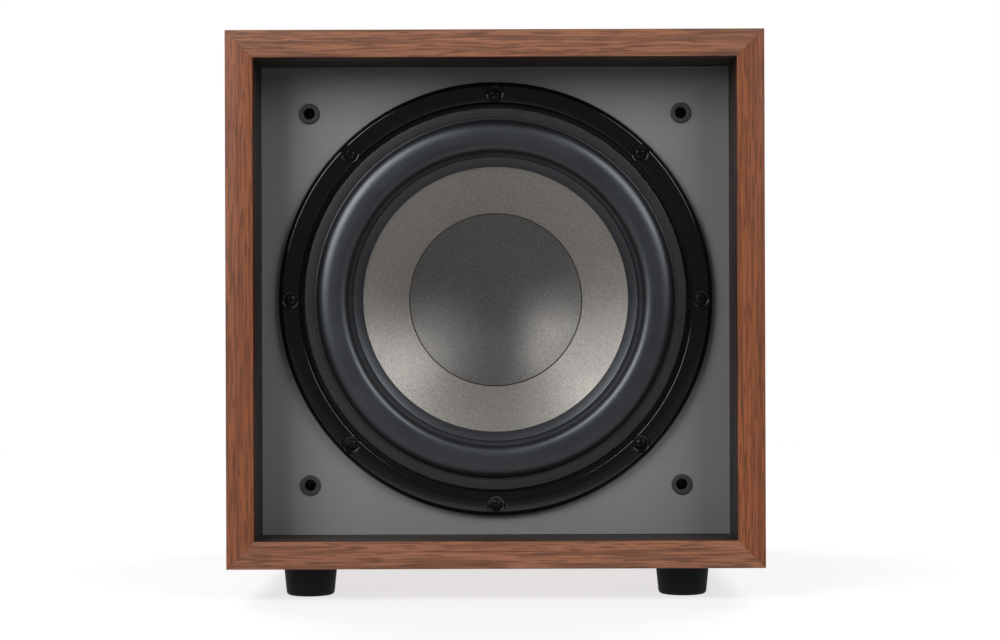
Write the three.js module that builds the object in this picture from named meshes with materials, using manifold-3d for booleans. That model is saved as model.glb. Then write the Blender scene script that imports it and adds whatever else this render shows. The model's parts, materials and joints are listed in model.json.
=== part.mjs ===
// A free-standing active subwoofer: a mitred cabinet on four feet, a long-throw driver on a recessed
// baffle, and an amplifier plate in the back. Millimetres, +Z up, the front faces -Y.
// The origin is on the floor, in the middle of the footprint.

import * as THREE from "three";
import { mergeVertices } from "three/addons/utils/BufferGeometryUtils.js";
import Module from "manifold-3d";

const wasm = await Module();
wasm.setup();

// ---------------------------------------------------------------- driving dimensions

const GAP = 0.3; // clearance left between pieces that touch

// cabinet
const WIDTH = 350;
const HEIGHT = 350; // without the feet
const DEPTH = 380; // without the amplifier's knobs
const REAR_REACH = 16; // how far the knobs stand out of the back
const WALL = 18;
const RECESS = 45; // front edge to baffle
const BAFFLE_THICKNESS = 22;
const FOOT_HEIGHT = 22;
const FOOT_INSET = 50; // foot centre to the cabinet's side, front or back
const SOCKET_SPACING = 249; // grille sockets, centre to centre, both ways
const DRIVER_RISE = 1; // driver centre above the cabinet's centre

// driver, radii about its axis
const FLANGE_R = 145;
const FLANGE_BEVEL = 2.8;
const FLANGE_INNER_R = 131.3; // inner edge of the raised rim
const FLANGE_FRONT = 7; // rim's front face, ahead of the baffle
const CUTOUT_R = 129.5;
const SCREW_CIRCLE_R = 137;
const SCREW_COUNT = 8;
const CLAMP_OUTER_R = 127.5;
const CLAMP_INNER_R = 120.8;
const ROLL_OUTER_R = 120.3;
const ROLL_INNER_R = 96.5;
const CONE_OUTER_R = 96;
const CONE_SHOWS_R = 88.9; // where the surround's inner lip ends on the cone
const CAP_R = 58.2;
const CONE_ANGLE = THREE.MathUtils.degToRad(31); // slope of the cone behind its rim
const COIL_R = 25; // voice coil former, inside
const SPIDER_OUTER_R = 74;
const MAGNET_R = 70;
const PLATE_R = 60;

// amplifier plate
const AMP_WIDTH = 200;
const AMP_HEIGHT = 260;
const AMP_THICKNESS = 3;
const AMP_LAND = 10; // overlap of the plate on the rear panel, each side
const KNOB_R = 9;

// places that follow from them
const FRONT_Y = -(DEPTH + REAR_REACH) / 2;
const REAR_Y = FRONT_Y + DEPTH;
const BAFFLE_Y = FRONT_Y + RECESS;
const CENTRE_Z = FOOT_HEIGHT + HEIGHT / 2;
const INNER_W = WIDTH - 2 * WALL;
const INNER_H = HEIGHT - 2 * WALL;
const PLATE_OUT_Y = REAR_Y + 2 * GAP + 1 + AMP_THICKNESS; // amplifier plate's outer face
const PLATE_IN_Y = PLATE_OUT_Y - AMP_THICKNESS;
const BOARD_Y = 150; // amplifier board's front face

// ---------------------------------------------------------------- materials

const material = (color, roughness, metalness = 0) =>
  new THREE.MeshStandardMaterial({ color, roughness, metalness });

const WOOD = material(0x82593f, 0.55);
const GREY_PAINT = material(0x626160, 0.6);
const BLACK_VINYL = material(0x1a1a1a, 0.7);
const WADDING = material(0xc9c7bf, 1);
const RUBBER = material(0x1c1c1d, 0.75);
const SURROUND_RUBBER = material(0x35373a, 0.55);
const GLOSS_BLACK = material(0x0b0c0d, 0.12);
const BLACK_STEEL = material(0x131313, 0.35, 0.8);
const CONE_METAL = material(0x9b9792, 0.38, 0.85);
const CAP_METAL = material(0x6f6c69, 0.42, 0.85);
const SPIDER_CLOTH = material(0xb58a3c, 0.95);
const ALUMINIUM = material(0xa8a9ab, 0.4, 0.9);
const COPPER = material(0xb3713f, 0.4, 0.9);
const PLATED_STEEL = material(0x8f9193, 0.35, 0.9);
const FERRITE = material(0x2b2b2d, 0.8);
const BLACK_PLASTIC = material(0x161617, 0.55);
const BOARD_GREEN = material(0x1f5b36, 0.6);
const TRANSFORMER_TAPE = material(0xc7a43a, 0.6);
const GOLD = material(0xc79a4b, 0.3, 1);
const LED_LENS = material(0x3a6fd0, 0.2);
const RED_PVC = material(0xa32020, 0.5);
const BLACK_PVC = material(0x141414, 0.5);

// ---------------------------------------------------------------- geometry helpers

const turnAngles = (count, start = 0) =>
  Array.from({ length: count }, (_, k) => start + (2 * Math.PI * k) / count);

const circlePoints = (x, y, radius, count) =>
  turnAngles(count).map((a) => [x + radius * Math.cos(a), y + radius * Math.sin(a)]);

// Twice the area of a closed outline of [x, y] points, positive when it runs anticlockwise.
const doubleArea = (points) =>
  points.reduce((sum, [x, y], k) => {
    const [nextX, nextY] = points[(k + 1) % points.length];
    return sum + x * nextY - nextX * y;
  }, 0);

// A solid of revolution about +Y. The outline is [radius, y] points, closed here.
function turned(outline, segments = 48) {
  const ring = doubleArea(outline) > 0 ? [...outline] : [...outline].reverse();
  ring.push(ring[0]);
  const points = ring.map(([r, y]) => new THREE.Vector2(r, y));
  return clean(new THREE.LatheGeometry(points, segments));
}

// The same about +Z: the outline is [radius, z] points.
const turnedZ = (outline, segments) => turned(outline, segments).rotateX(Math.PI / 2);

// Welds the corners and drops the faces that the weld closed up.
function clean(source) {
  const bare = source.index ? source.toNonIndexed() : source.clone();
  bare.deleteAttribute("normal");
  bare.deleteAttribute("uv");
  const welded = mergeVertices(bare, 1e-4);
  const old = welded.index.array;
  const kept = [];
  for (let k = 0; k < old.length; k += 3) {
    const [a, b, c] = [old[k], old[k + 1], old[k + 2]];
    if (a !== b && b !== c && c !== a) kept.push(a, b, c);
  }
  welded.setIndex(kept);
  welded.computeVertexNormals();
  return welded;
}

const box = (x, y, z) => new THREE.BoxGeometry(x, y, z);

// A box from its low corner to its high corner.
function boxBetween([x0, y0, z0], [x1, y1, z1]) {
  const made = box(x1 - x0, y1 - y0, z1 - z0);
  return made.translate((x0 + x1) / 2, (y0 + y1) / 2, (z0 + z1) / 2);
}

// A cylinder along Y from y0 to y1.
const rodY = (radius, y0, y1, segments = 16) =>
  new THREE.CylinderGeometry(radius, radius, y1 - y0, segments).translate(0, (y0 + y1) / 2, 0);

// An outline in X and Z, extruded along +Y from y0 to y1.
function slab(shape, y0, y1, curveSegments = 6) {
  const made = new THREE.ExtrudeGeometry(shape, {
    depth: y1 - y0,
    bevelEnabled: false,
    curveSegments,
  });
  return made.rotateX(Math.PI / 2).translate(0, y1, 0);
}

function roundedRect(width, height, radius) {
  const [w, h] = [width / 2 - radius, height / 2 - radius];
  const shape = new THREE.Shape();
  shape.absarc(w, h, radius, 0, Math.PI / 2);
  shape.absarc(-w, h, radius, Math.PI / 2, Math.PI);
  shape.absarc(-w, -h, radius, Math.PI, 1.5 * Math.PI);
  shape.absarc(w, -h, radius, 1.5 * Math.PI, 2 * Math.PI);
  return shape;
}

const polygon = (points) => new THREE.Shape(points.map(([x, y]) => new THREE.Vector2(x, y)));

const rectangle = (width, height, x = 0, y = 0) => [
  [x - width / 2, y - height / 2],
  [x + width / 2, y - height / 2],
  [x + width / 2, y + height / 2],
  [x - width / 2, y + height / 2],
];

// A shape with holes, each hole a list of points.
function pierced(shape, holes) {
  shape.holes = holes.map((points) => polygon(points));
  return shape;
}

function toSolid(geometry) {
  const welded = clean(geometry);
  return new wasm.Manifold(
    new wasm.Mesh({
      numProp: 3,
      vertProperties: Float32Array.from(welded.attributes.position.array),
      triVerts: Uint32Array.from(welded.index.array),
    }),
  );
}

function fromSolid(solid) {
  const { vertProperties, triVerts } = solid.getMesh();
  const made = new THREE.BufferGeometry();
  made.setAttribute("position", new THREE.BufferAttribute(Float32Array.from(vertProperties), 3));
  made.setIndex(new THREE.BufferAttribute(Uint32Array.from(triVerts), 1));
  made.computeVertexNormals();
  return made;
}

const cut = (base, ...tools) =>
  fromSolid(tools.reduce((solid, tool) => solid.subtract(toSolid(tool)), toSolid(base)));

const join = (base, ...more) =>
  fromSolid(more.reduce((solid, piece) => solid.add(toSolid(piece)), toSolid(base)));

// Points on an arc about [cx, cy], from one angle to another in degrees, both ends included.
function arc(cx, cy, radius, fromDeg, toDeg, steps) {
  return Array.from({ length: steps + 1 }, (_, k) => {
    const angle = THREE.MathUtils.degToRad(fromDeg + ((toDeg - fromDeg) * k) / steps);
    return [cx + radius * Math.cos(angle), cy + radius * Math.sin(angle)];
  });
}

const subwoofer = new THREE.Group();

function put(parent, name, geometry, finish, place = [0, 0, 0]) {
  const mesh = new THREE.Mesh(geometry, finish);
  mesh.name = name;
  mesh.position.set(...place);
  parent.add(mesh);
  return mesh;
}

function group(parent, place) {
  const made = new THREE.Group();
  made.position.set(...place);
  parent.add(made);
  return made;
}

// ---------------------------------------------------------------- cabinet

// A panel is a trapezium in the front view, so that its ends are mitred. It is drawn as the top
// panel, about the cabinet's centre, and turned about Y into its own place.
function cabinetPanel(quarterTurns) {
  const end = WIDTH / 2 - GAP / Math.SQRT2;
  const top = HEIGHT / 2;
  const shape = polygon([
    [-end, top],
    [-end + WALL, top - WALL],
    [end - WALL, top - WALL],
    [end, top],
  ]);
  return slab(shape, FRONT_Y, REAR_Y).rotateY((quarterTurns * Math.PI) / 2);
}

const SOCKET_HOLE_R = 5.5;
const PILOT_R = 2.3; // screw holes in wood and rubber

const socketPlaces = [-1, 1].flatMap((up) =>
  [-1, 1].map((side) => [(side * SOCKET_SPACING) / 2, DRIVER_RISE + (up * SOCKET_SPACING) / 2]),
);

const screwPlaces = turnAngles(SCREW_COUNT).map((a) => [
  SCREW_CIRCLE_R * Math.cos(a),
  SCREW_CIRCLE_R * Math.sin(a),
]);

function frontBaffle() {
  const shape = polygon(rectangle(INNER_W - 2 * GAP, INNER_H - 2 * GAP));
  const holes = [
    circlePoints(0, DRIVER_RISE, CUTOUT_R, 48),
    ...screwPlaces.map(([x, z]) => circlePoints(x, z + DRIVER_RISE, PILOT_R, 8)),
    ...socketPlaces.map(([x, z]) => circlePoints(x, z, SOCKET_HOLE_R, 16)),
  ];
  return slab(pierced(shape, holes), BAFFLE_Y, BAFFLE_Y + BAFFLE_THICKNESS);
}

function rearPanel() {
  const shape = polygon(rectangle(INNER_W - 2 * GAP, INNER_H - 2 * GAP));
  const hole = rectangle(AMP_WIDTH - 2 * AMP_LAND, AMP_HEIGHT - 2 * AMP_LAND);
  return slab(pierced(shape, [hole]), REAR_Y - WALL, REAR_Y);
}

// A thick mat of wadding over the inside of both sides and the top.
function wadding() {
  const thickness = 20;
  const [w, h] = [INNER_W / 2 - GAP, INNER_H / 2 - GAP];
  const [innerW, innerH] = [w - thickness, h - thickness];
  const shape = polygon([
    [-w, -h],
    [-innerW, -h],
    [-innerW, innerH],
    [innerW, innerH],
    [innerW, -h],
    [w, -h],
    [w, h],
    [-w, h],
  ]);
  return slab(shape, BAFFLE_Y + BAFFLE_THICKNESS + 3, REAR_Y - WALL - GAP);
}

// The collar and blind sleeve that a grille peg pushes into.
function grilleSocket() {
  const [hole, sleeve, collar] = [3.75, 5.2, 6.9];
  const [proud, holeDepth, depth] = [1.2, 14, 16];
  return turned(
    [
      [hole, -proud],
      [collar - 0.7, -proud],
      [collar, -proud / 2],
      [collar, -GAP],
      [sleeve, -GAP],
      [sleeve, depth],
      [0, depth],
      [0, holeDepth],
      [hole, holeDepth],
    ],
    16,
  );
}

// A tapered rubber foot with a well for its screw.
function foot() {
  const [topR, bottomR, edge, wellR, wellDepth] = [18, 15.9, 2.5, 6, 7];
  const top = FOOT_HEIGHT - GAP;
  return turnedZ(
    [
      [PILOT_R, top],
      [PILOT_R, wellDepth],
      [wellR, wellDepth],
      [wellR, 0],
      ...arc(bottomR - edge, edge, edge, -90, 0, 2),
      [topR, top],
    ],
    16,
  );
}

function cabinet() {
  const shell = group(subwoofer, [0, 0, CENTRE_Z]);
  ["top_panel", "right_panel", "bottom_panel", "left_panel"].forEach((name, turns) =>
    put(shell, name, cabinetPanel(turns), WOOD),
  );
  put(shell, "front_baffle", frontBaffle(), GREY_PAINT);
  put(shell, "rear_panel", rearPanel(), BLACK_VINYL);
  put(shell, "acoustic_wadding", wadding(), WADDING);
  socketPlaces.forEach(([x, z], k) =>
    put(shell, `grille_socket_${k + 1}`, grilleSocket(), BLACK_PLASTIC, [x, BAFFLE_Y, z]),
  );
  const footX = WIDTH / 2 - FOOT_INSET;
  const footYs = [FRONT_Y + FOOT_INSET, REAR_Y - FOOT_INSET];
  const places = footYs.flatMap((y) => [-footX, footX].map((x) => [x, y, 0]));
  places.forEach((place, k) => put(subwoofer, `foot_${k + 1}`, foot(), RUBBER, place));
}

// ---------------------------------------------------------------- driver, y = 0 on the baffle's face

const SHELF_Y = -2.2; // the basket's shelf that carries the surround's outer lip
const CONE_RIM_Y = -1.6;
const SPIDER_Y = 53.3;
const TOP_PLATE_Y = 76;
const TOP_PLATE_THICKNESS = 8;
const MAGNET_THICKNESS = 32;
const COUNTERBORE_R = 5.8;
const COUNTERBORE_Y = -4;

// Front face of the cone at a radius outside the dust cap.
const coneFront = (r) => CONE_RIM_Y + (CONE_OUTER_R - r) * Math.tan(CONE_ANGLE);

// A cast frame: glossy rim, round shelf, a cage of eight spokes, and a ring for the motor.
function driverBasket() {
  const face = -FLANGE_FRONT;
  const body = turned(
    [
      [118.8, SHELF_Y],
      [FLANGE_INNER_R, SHELF_Y],
      [FLANGE_INNER_R, face + 0.5],
      [FLANGE_INNER_R + 0.5, face],
      [FLANGE_R - FLANGE_BEVEL, face],
      [FLANGE_R, face + FLANGE_BEVEL],
      [FLANGE_R, -GAP],
      [134.6, -GAP],
      [134.6, -1.9],
      [131.9, -1.9],
      [131.9, -GAP],
      [128.8, -GAP],
      [128.8, 14],
      [79, 52],
      [79, 58],
      [62, 62],
      [62, TOP_PLATE_Y - GAP],
      [50, TOP_PLATE_Y - GAP],
      [50, 68],
      [66, 58],
      [66, SPIDER_Y + 0.9],
      [74.6, SPIDER_Y + 0.9],
      [76.5, 50.5],
      [122.5, 12.5],
      [122.5, 1],
      [118.8, 1],
    ],
    48,
  );
  const windows = turnAngles(8).map((a) => box(54, 27, 34).translate(105, 32.5, 0).rotateY(a));
  const bores = screwPlaces.flatMap(([x, z]) => [
    rodY(COUNTERBORE_R, face - 1, COUNTERBORE_Y, 16).translate(x, 0, z),
    rodY(2.9, COUNTERBORE_Y - 1, 1, 10).translate(x, 0, z),
  ]);
  return cut(body, ...windows, ...bores);
}

function clampRing() {
  const [back, front, edge] = [-4.1, -6.5, 0.5];
  return turned(
    [
      [CLAMP_INNER_R, back],
      [CLAMP_OUTER_R, back],
      [CLAMP_OUTER_R, front + edge],
      [CLAMP_OUTER_R - edge, front],
      [CLAMP_INNER_R + edge, front],
      [CLAMP_INNER_R, front + edge],
    ],
    40,
  );
}

function driverScrew() {
  const [headR, shankR, headFront, tip] = [3.8, 2, -6.6, 14];
  const headBack = COUNTERBORE_Y - GAP;
  const body = turned(
    [
      [0, headFront],
      [headR - 0.6, headFront],
      [headR, headFront + 0.6],
      [headR, headBack],
      [shankR, headBack],
      [shankR, tip - 3],
      [0, tip],
    ],
    12,
  );
  const slots = [box(4.2, 3, 0.9), box(0.9, 3, 4.2)];
  return cut(body, ...slots.map((slot) => slot.translate(0, headFront, 0)));
}

// A half roll of rubber between an outer lip on the basket and an inner lip on the cone.
function surround() {
  const thickness = 1.2;
  const rollR = (ROLL_OUTER_R - ROLL_INNER_R) / 2;
  const middle = (ROLL_OUTER_R + ROLL_INNER_R) / 2;
  const lipBack = SHELF_Y - GAP;
  const lipFront = lipBack - thickness;
  const rollY = (lipBack + lipFront) / 2;
  const innerBackR = middle - rollR + thickness;
  return turned(
    [
      [CLAMP_OUTER_R - 0.1, lipBack],
      [CLAMP_OUTER_R - 0.1, lipFront],
      [ROLL_OUTER_R, lipFront],
      ...arc(middle, rollY, rollR, 0, -180, 6),
      [ROLL_INNER_R - 0.9, coneFront(ROLL_INNER_R - 0.9) - GAP - thickness],
      [CONE_SHOWS_R, coneFront(CONE_SHOWS_R) - GAP - thickness * 0.7],
      [CONE_SHOWS_R, coneFront(CONE_SHOWS_R) - GAP],
      [innerBackR - 0.1, coneFront(innerBackR) - GAP],
      ...arc(middle, rollY, rollR - thickness, -180, 0, 6),
      [ROLL_OUTER_R - thickness, lipBack],
    ],
    36,
  );
}

// A straight-sided metal cone that runs on behind the dust cap to a neck round the former.
function cone() {
  const thickness = 1.3; // along the axis
  const [neckR, neckY, neckEnd] = [COIL_R + 0.8, 47, 51];
  return turned([
    [CONE_OUTER_R, CONE_RIM_Y],
    [CAP_R, coneFront(CAP_R)],
    [neckR, neckY],
    [neckR, neckEnd],
    [neckR + 1.1, neckEnd],
    [neckR + 1.1, neckY + 0.6],
    [CAP_R + 0.4, coneFront(CAP_R) + thickness],
    [CONE_OUTER_R, CONE_RIM_Y + thickness],
  ]);
}

// A dished cap, hollow towards the listener.
function dustCap() {
  const [dish, thickness, steps] = [14, 0.8, 5];
  const rimY = coneFront(CAP_R) - GAP - thickness;
  const front = Array.from({ length: steps + 1 }, (_, k) => {
    const share = k / steps;
    return [CAP_R * share, rimY + dish * (1 - share * share)];
  });
  const back = front.map(([r, y]) => [r, y + thickness]).reverse();
  return turned([...front, ...back], 32);
}

// A corrugated cloth disc that centres the coil.
function spider() {
  const [thickness, swing, folds] = [0.6, 1.9, 4];
  const [innerR, foldStart, foldEnd, outerR] = [COIL_R + 0.8, 30, 64, SPIDER_OUTER_R + 0.2];
  const peaks = Array.from({ length: 2 * folds - 1 }, (_, k) => [
    foldStart + ((foldEnd - foldStart) * (k + 1)) / (2 * folds),
    SPIDER_Y + (k % 2 ? -swing : swing),
  ]);
  const flat = (...radii) => radii.map((r) => [r, SPIDER_Y]);
  const front = [...flat(innerR, foldStart), ...peaks, ...flat(foldEnd, outerR)];
  const back = front.map(([r, y]) => [r, y + thickness]).reverse();
  return turned([...front, ...back], 24);
}

const ring = (innerR, outerR, y0, y1, segments = 32) =>
  turned(
    [
      [innerR, y0],
      [outerR, y0],
      [outerR, y1],
      [innerR, y1],
    ],
    segments,
  );

// The back plate and the pole piece in one, with a vent through the middle.
function backPlate(plateY) {
  const [ventR, poleR, thickness] = [8, COIL_R - 1, 8];
  return turned(
    [
      [ventR, TOP_PLATE_Y],
      [poleR, TOP_PLATE_Y],
      [poleR, plateY],
      [PLATE_R, plateY],
      [PLATE_R, plateY + thickness],
      [ventR, plateY + thickness],
    ],
    32,
  );
}

const TAB_TIP_X = 91; // ends of the terminal strip's tabs
const TAB_Y = 56.5;
const TAB_Z = 8;

function terminalStrip() {
  const base = boxBetween([79.4, 52.8, -14], [82.4, 60, 14]);
  const tabs = [-TAB_Z, TAB_Z].map((z) =>
    boxBetween([82, TAB_Y - 0.5, z - 2.5], [TAB_TIP_X, TAB_Y + 0.5, z + 2.5]),
  );
  return join(base, ...tabs);
}

function driver() {
  const unit = group(subwoofer, [0, BAFFLE_Y, CENTRE_Z + DRIVER_RISE]);
  put(unit, "driver_basket", driverBasket(), GLOSS_BLACK);
  put(unit, "clamp_ring", clampRing(), RUBBER);
  put(unit, "driver_gasket", ring(132.2, 134.3, -1.6, -GAP, 48), RUBBER);
  screwPlaces.forEach(([x, z], k) =>
    put(unit, `driver_screw_${k + 1}`, driverScrew(), BLACK_STEEL, [x, 0, z]),
  );
  put(unit, "surround", surround(), SURROUND_RUBBER);
  put(unit, "cone", cone(), CONE_METAL);
  put(unit, "dust_cap", dustCap(), CAP_METAL);
  put(unit, "spider", spider(), SPIDER_CLOTH);

  const plateMiddle = TOP_PLATE_Y + TOP_PLATE_THICKNESS / 2;
  const windingLength = 22;
  const magnetY = TOP_PLATE_Y + TOP_PLATE_THICKNESS + GAP;
  const backPlateY = magnetY + MAGNET_THICKNESS + GAP;
  const [windingStart, windingEnd] = [plateMiddle - windingLength / 2, plateMiddle + windingLength / 2];
  put(unit, "voice_coil_former", ring(COIL_R, COIL_R + 0.5, 44, 94), ALUMINIUM);
  put(unit, "voice_coil", ring(COIL_R + 0.8, COIL_R + 2.2, windingStart, windingEnd), COPPER);
  const topPlate = ring(COIL_R + 3.4, PLATE_R, TOP_PLATE_Y, TOP_PLATE_Y + TOP_PLATE_THICKNESS);
  put(unit, "top_plate", topPlate, PLATED_STEEL);
  put(unit, "magnet", ring(34, MAGNET_R, magnetY, magnetY + MAGNET_THICKNESS), FERRITE);
  put(unit, "back_plate", backPlate(backPlateY), PLATED_STEEL);
  put(unit, "terminal_strip", terminalStrip(), BLACK_PLASTIC);
}

// ---------------------------------------------------------------- amplifier, z = 0 at the cabinet's centre

const POT_PLACES = { level: [62, 92], crossover: [12, 92] };
const PHASE_PLACE = [-45, 92];
const MODE_PLACE = [-45, 42];
const JACK_PLACES = { left: [70, 42], right: [48, 42] };
const LED_PLACE = [-80, 110];
const INLET_PLACE = [-52, -103];
const POWER_PLACE = [0, -103];
const POST_PLACES = [-1, 1].flatMap((up) => [-1, 1].map((side) => [side * 76, up * 104]));
const PHASE_TRAVEL = 4;
const MODE_TRAVEL = 6;
const SLIDER_WIDTH = 3.4;
const SLIDER_HEIGHT = 4.4;
const BOARD_THICKNESS = 1.6;
const ROCKER_TILT = 8; // degrees either side of level
const PIVOT_Y = PLATE_OUT_Y - 1;

const slotFor = ([x, z], travel) => rectangle(travel + SLIDER_WIDTH + 1.8, SLIDER_HEIGHT + 0.8, x, z);

// An aluminium plate with its cut-outs and the four posts that carry the board.
function ampPlate() {
  const holes = [
    ...Object.values(POT_PLACES).map(([x, z]) => circlePoints(x, z, 3.8, 12)),
    ...Object.values(JACK_PLACES).map(([x, z]) => circlePoints(x, z, 5.4, 16)),
    circlePoints(...LED_PLACE, 2.9, 10),
    slotFor(PHASE_PLACE, PHASE_TRAVEL),
    slotFor(MODE_PLACE, MODE_TRAVEL),
    rectangle(28.2, 20.8, ...INLET_PLACE),
    rectangle(21.8, 27.8, ...POWER_PLACE),
  ];
  const shape = pierced(roundedRect(AMP_WIDTH, AMP_HEIGHT, 6), holes);
  const plate = slab(shape, PLATE_IN_Y, PLATE_OUT_Y, 3);
  const postStart = BOARD_Y + BOARD_THICKNESS + GAP;
  const posts = POST_PLACES.map(([x, z]) => rodY(3.5, postStart, PLATE_IN_Y + 1, 8).translate(x, 0, z));
  return join(plate, ...posts);
}

function ampGasket() {
  const hole = rectangle(AMP_WIDTH - 2 * AMP_LAND + 1, AMP_HEIGHT - 2 * AMP_LAND + 1);
  const shape = pierced(roundedRect(AMP_WIDTH - 1, AMP_HEIGHT - 1, 6), [hole]);
  return slab(shape, REAR_Y + GAP, REAR_Y + GAP + 1, 3);
}

// Upright fins on a thin base, screwed to the outside of the plate.
function heatsink() {
  const [width, height, base, fin, count, reach] = [120, 80, 3, 2, 13, 10.4];
  const back = PLATE_OUT_Y + GAP;
  const pitch = (width - fin) / (count - 1);
  const comb = [[-width / 2, back]];
  for (let k = 0; k < count; k += 1) {
    const left = -width / 2 + k * pitch;
    comb.push([left, back + reach], [left + fin, back + reach]);
    if (k < count - 1) comb.push([left + fin, back + base], [left + pitch, back + base]);
  }
  comb.push([width / 2, back]);
  const made = new THREE.ExtrudeGeometry(polygon(comb), { depth: height, bevelEnabled: false });
  return made.translate(0, 0, -height + 5);
}

// A ring core wound and taped, lying flat against the board.
const CORE_DEPTH = 36;
const CORE_Y = BOARD_Y - GAP - CORE_DEPTH;

function transformer() {
  const [innerR, outerR, edge] = [16, 42, 5];
  const [front, back] = [CORE_Y, CORE_Y + CORE_DEPTH];
  return turned(
    [
      [innerR, front + edge],
      [innerR + edge, front],
      [outerR - edge, front],
      [outerR, front + edge],
      [outerR, back - edge],
      [outerR - edge, back],
      [innerR + edge, back],
      [innerR, back - edge],
    ],
    28,
  );
}

// The bolt, with its dished washer, that holds the ring core to the board.
function transformerBolt() {
  const washerY = CORE_Y - GAP;
  return turned(
    [
      [0, washerY - 5.5],
      [5, washerY - 5.5],
      [5, washerY - 1.5],
      [26, washerY - 1.5],
      [26, washerY],
      [3, washerY],
      [3, BOARD_Y - GAP],
      [0, BOARD_Y - GAP],
    ],
    16,
  );
}

function capacitor() {
  const [radius, length, edge] = [12.5, 40, 1];
  const back = BOARD_Y - GAP;
  return turned(
    [
      [0, back - length],
      [radius - edge, back - length],
      [radius, back - length + edge],
      [radius, back],
      [0, back],
    ],
    18,
  );
}

// The mains inlet: a flanged shell with three blades standing in its cavity.
function iecInlet() {
  const [flangeY, mouthY, floorY, backY] = [PLATE_OUT_Y + GAP, PLATE_OUT_Y + GAP + 2.5, 173.4, 170];
  const shell = join(
    boxBetween([-15.5, flangeY, -12], [15.5, mouthY, 12]),
    boxBetween([-13.7, backY, -10], [13.7, flangeY + 1, 10]),
  );
  const cavity = boxBetween([-12.2, floorY, -8.2], [12.2, mouthY + 1, 8.2]);
  const hollow = cut(shell, cavity);
  const blades = [
    [-7, -2],
    [7, -2],
    [0, 3],
  ].map(([x, z]) => boxBetween([x - 1, floorY - 1, z - 2], [x + 1, mouthY - 2, z + 2]));
  return join(hollow, ...blades);
}

// The frame that the rocker sits in.
function powerSwitchBody() {
  const [flangeY, mouthY, backY] = [PLATE_OUT_Y + GAP, PLATE_OUT_Y + GAP + 1.8, 170];
  const shell = join(
    boxBetween([-12.2, flangeY, -15.2], [12.2, mouthY, 15.2]),
    boxBetween([-10.6, backY, -13.6], [10.6, flangeY + 1, 13.6]),
  );
  return cut(shell, boxBetween([-8.8, backY + 2, -12.2], [8.8, mouthY + 1, 12.2]));
}

// A rocker with two faces that meet in a shallow valley, drawn level about its pivot.
function powerRocker() {
  const [halfLength, reach, valley, width] = [10.8, 5.6, 3.2, 16.4];
  const shape = polygon([
    [-4, -4],
    [reach - 0.6, -halfLength],
    [reach, -halfLength + 0.6],
    [valley, 0],
    [reach, halfLength - 0.6],
    [reach - 0.6, halfLength],
    [-4, 4],
  ]);
  const made = new THREE.ExtrudeGeometry(shape, { depth: width, bevelEnabled: false });
  made.translate(0, 0, -width / 2);
  // the outline's x becomes +Y and its y becomes +Z
  made.applyMatrix4(new THREE.Matrix4().set(0, 0, 1, 0, 1, 0, 0, 0, 0, 1, 0, 0, 0, 0, 0, 1));
  return made.rotateX(THREE.MathUtils.degToRad(-ROCKER_TILT));
}

// A knob moulded with its spindle, with a pointer line cut in its face.
function knob() {
  const [spindleR, spindleEnd, face] = [3, 173, REAR_Y + REAR_REACH];
  const skirt = PLATE_OUT_Y + 0.9;
  const body = turned(
    [
      [0, spindleEnd],
      [spindleR, spindleEnd],
      [spindleR, skirt],
      [KNOB_R + 0.5, skirt],
      [KNOB_R + 0.5, skirt + 1.8],
      [KNOB_R - 0.6, skirt + 2.6],
      [KNOB_R - 0.9, face - 0.8],
      [KNOB_R - 1.7, face],
      [0, face],
    ],
    24,
  );
  return cut(body, boxBetween([-0.6, face - 0.6, 2.5], [0.6, face + 1, KNOB_R + 2]));
}

function potentiometer() {
  const [radius, bore, boreEnd, backY] = [8.2, 3.4, 172, 167];
  return turned(
    [
      [0, backY],
      [radius, backY],
      [radius, PLATE_IN_Y - GAP],
      [bore, PLATE_IN_Y - GAP],
      [bore, boreEnd],
      [0, boreEnd],
    ],
    16,
  );
}

function slideSwitchBody(travel) {
  const [length, height, depth] = [travel + 16, 8, 9];
  const front = PLATE_IN_Y - GAP;
  const hollow = [travel + SLIDER_WIDTH + 3, SLIDER_HEIGHT + 0.8];
  return cut(
    boxBetween([-length / 2, front - depth, -height / 2], [length / 2, front, height / 2]),
    boxBetween([-hollow[0] / 2, front - 6, -hollow[1] / 2], [hollow[0] / 2, front + 1, hollow[1] / 2]),
  );
}

// The sliding thumb-piece, at the low-x end of its travel.
function slider(travel) {
  const middle = -travel / 2;
  const [w, h] = [SLIDER_WIDTH / 2, SLIDER_HEIGHT / 2];
  return boxBetween([middle - w, PLATE_IN_Y - 5, -h], [middle + w, PLATE_OUT_Y + 3.4, h]);
}

function phonoJack() {
  const [flangeR, bodyR, barrelR, holeR] = [6.4, 5, 4.15, 1.7];
  const flangeY = PLATE_OUT_Y + GAP;
  return turned(
    [
      [0, 172],
      [bodyR, 172],
      [bodyR, flangeY],
      [flangeR, flangeY],
      [flangeR, flangeY + 1.5],
      [barrelR, flangeY + 1.5],
      [barrelR, flangeY + 9.6],
      [holeR, flangeY + 9.6],
      [holeR, flangeY + 1],
      [0, flangeY + 1],
    ],
    16,
  );
}

function statusLed() {
  const radius = 2.5;
  const dome = arc(0, PLATE_OUT_Y + 0.3, radius, 0, 90, 3).slice(0, -1);
  return turned([[0, 178], [radius, 178], ...dome, [0, PLATE_OUT_Y + 0.3 + radius]], 12);
}

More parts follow.
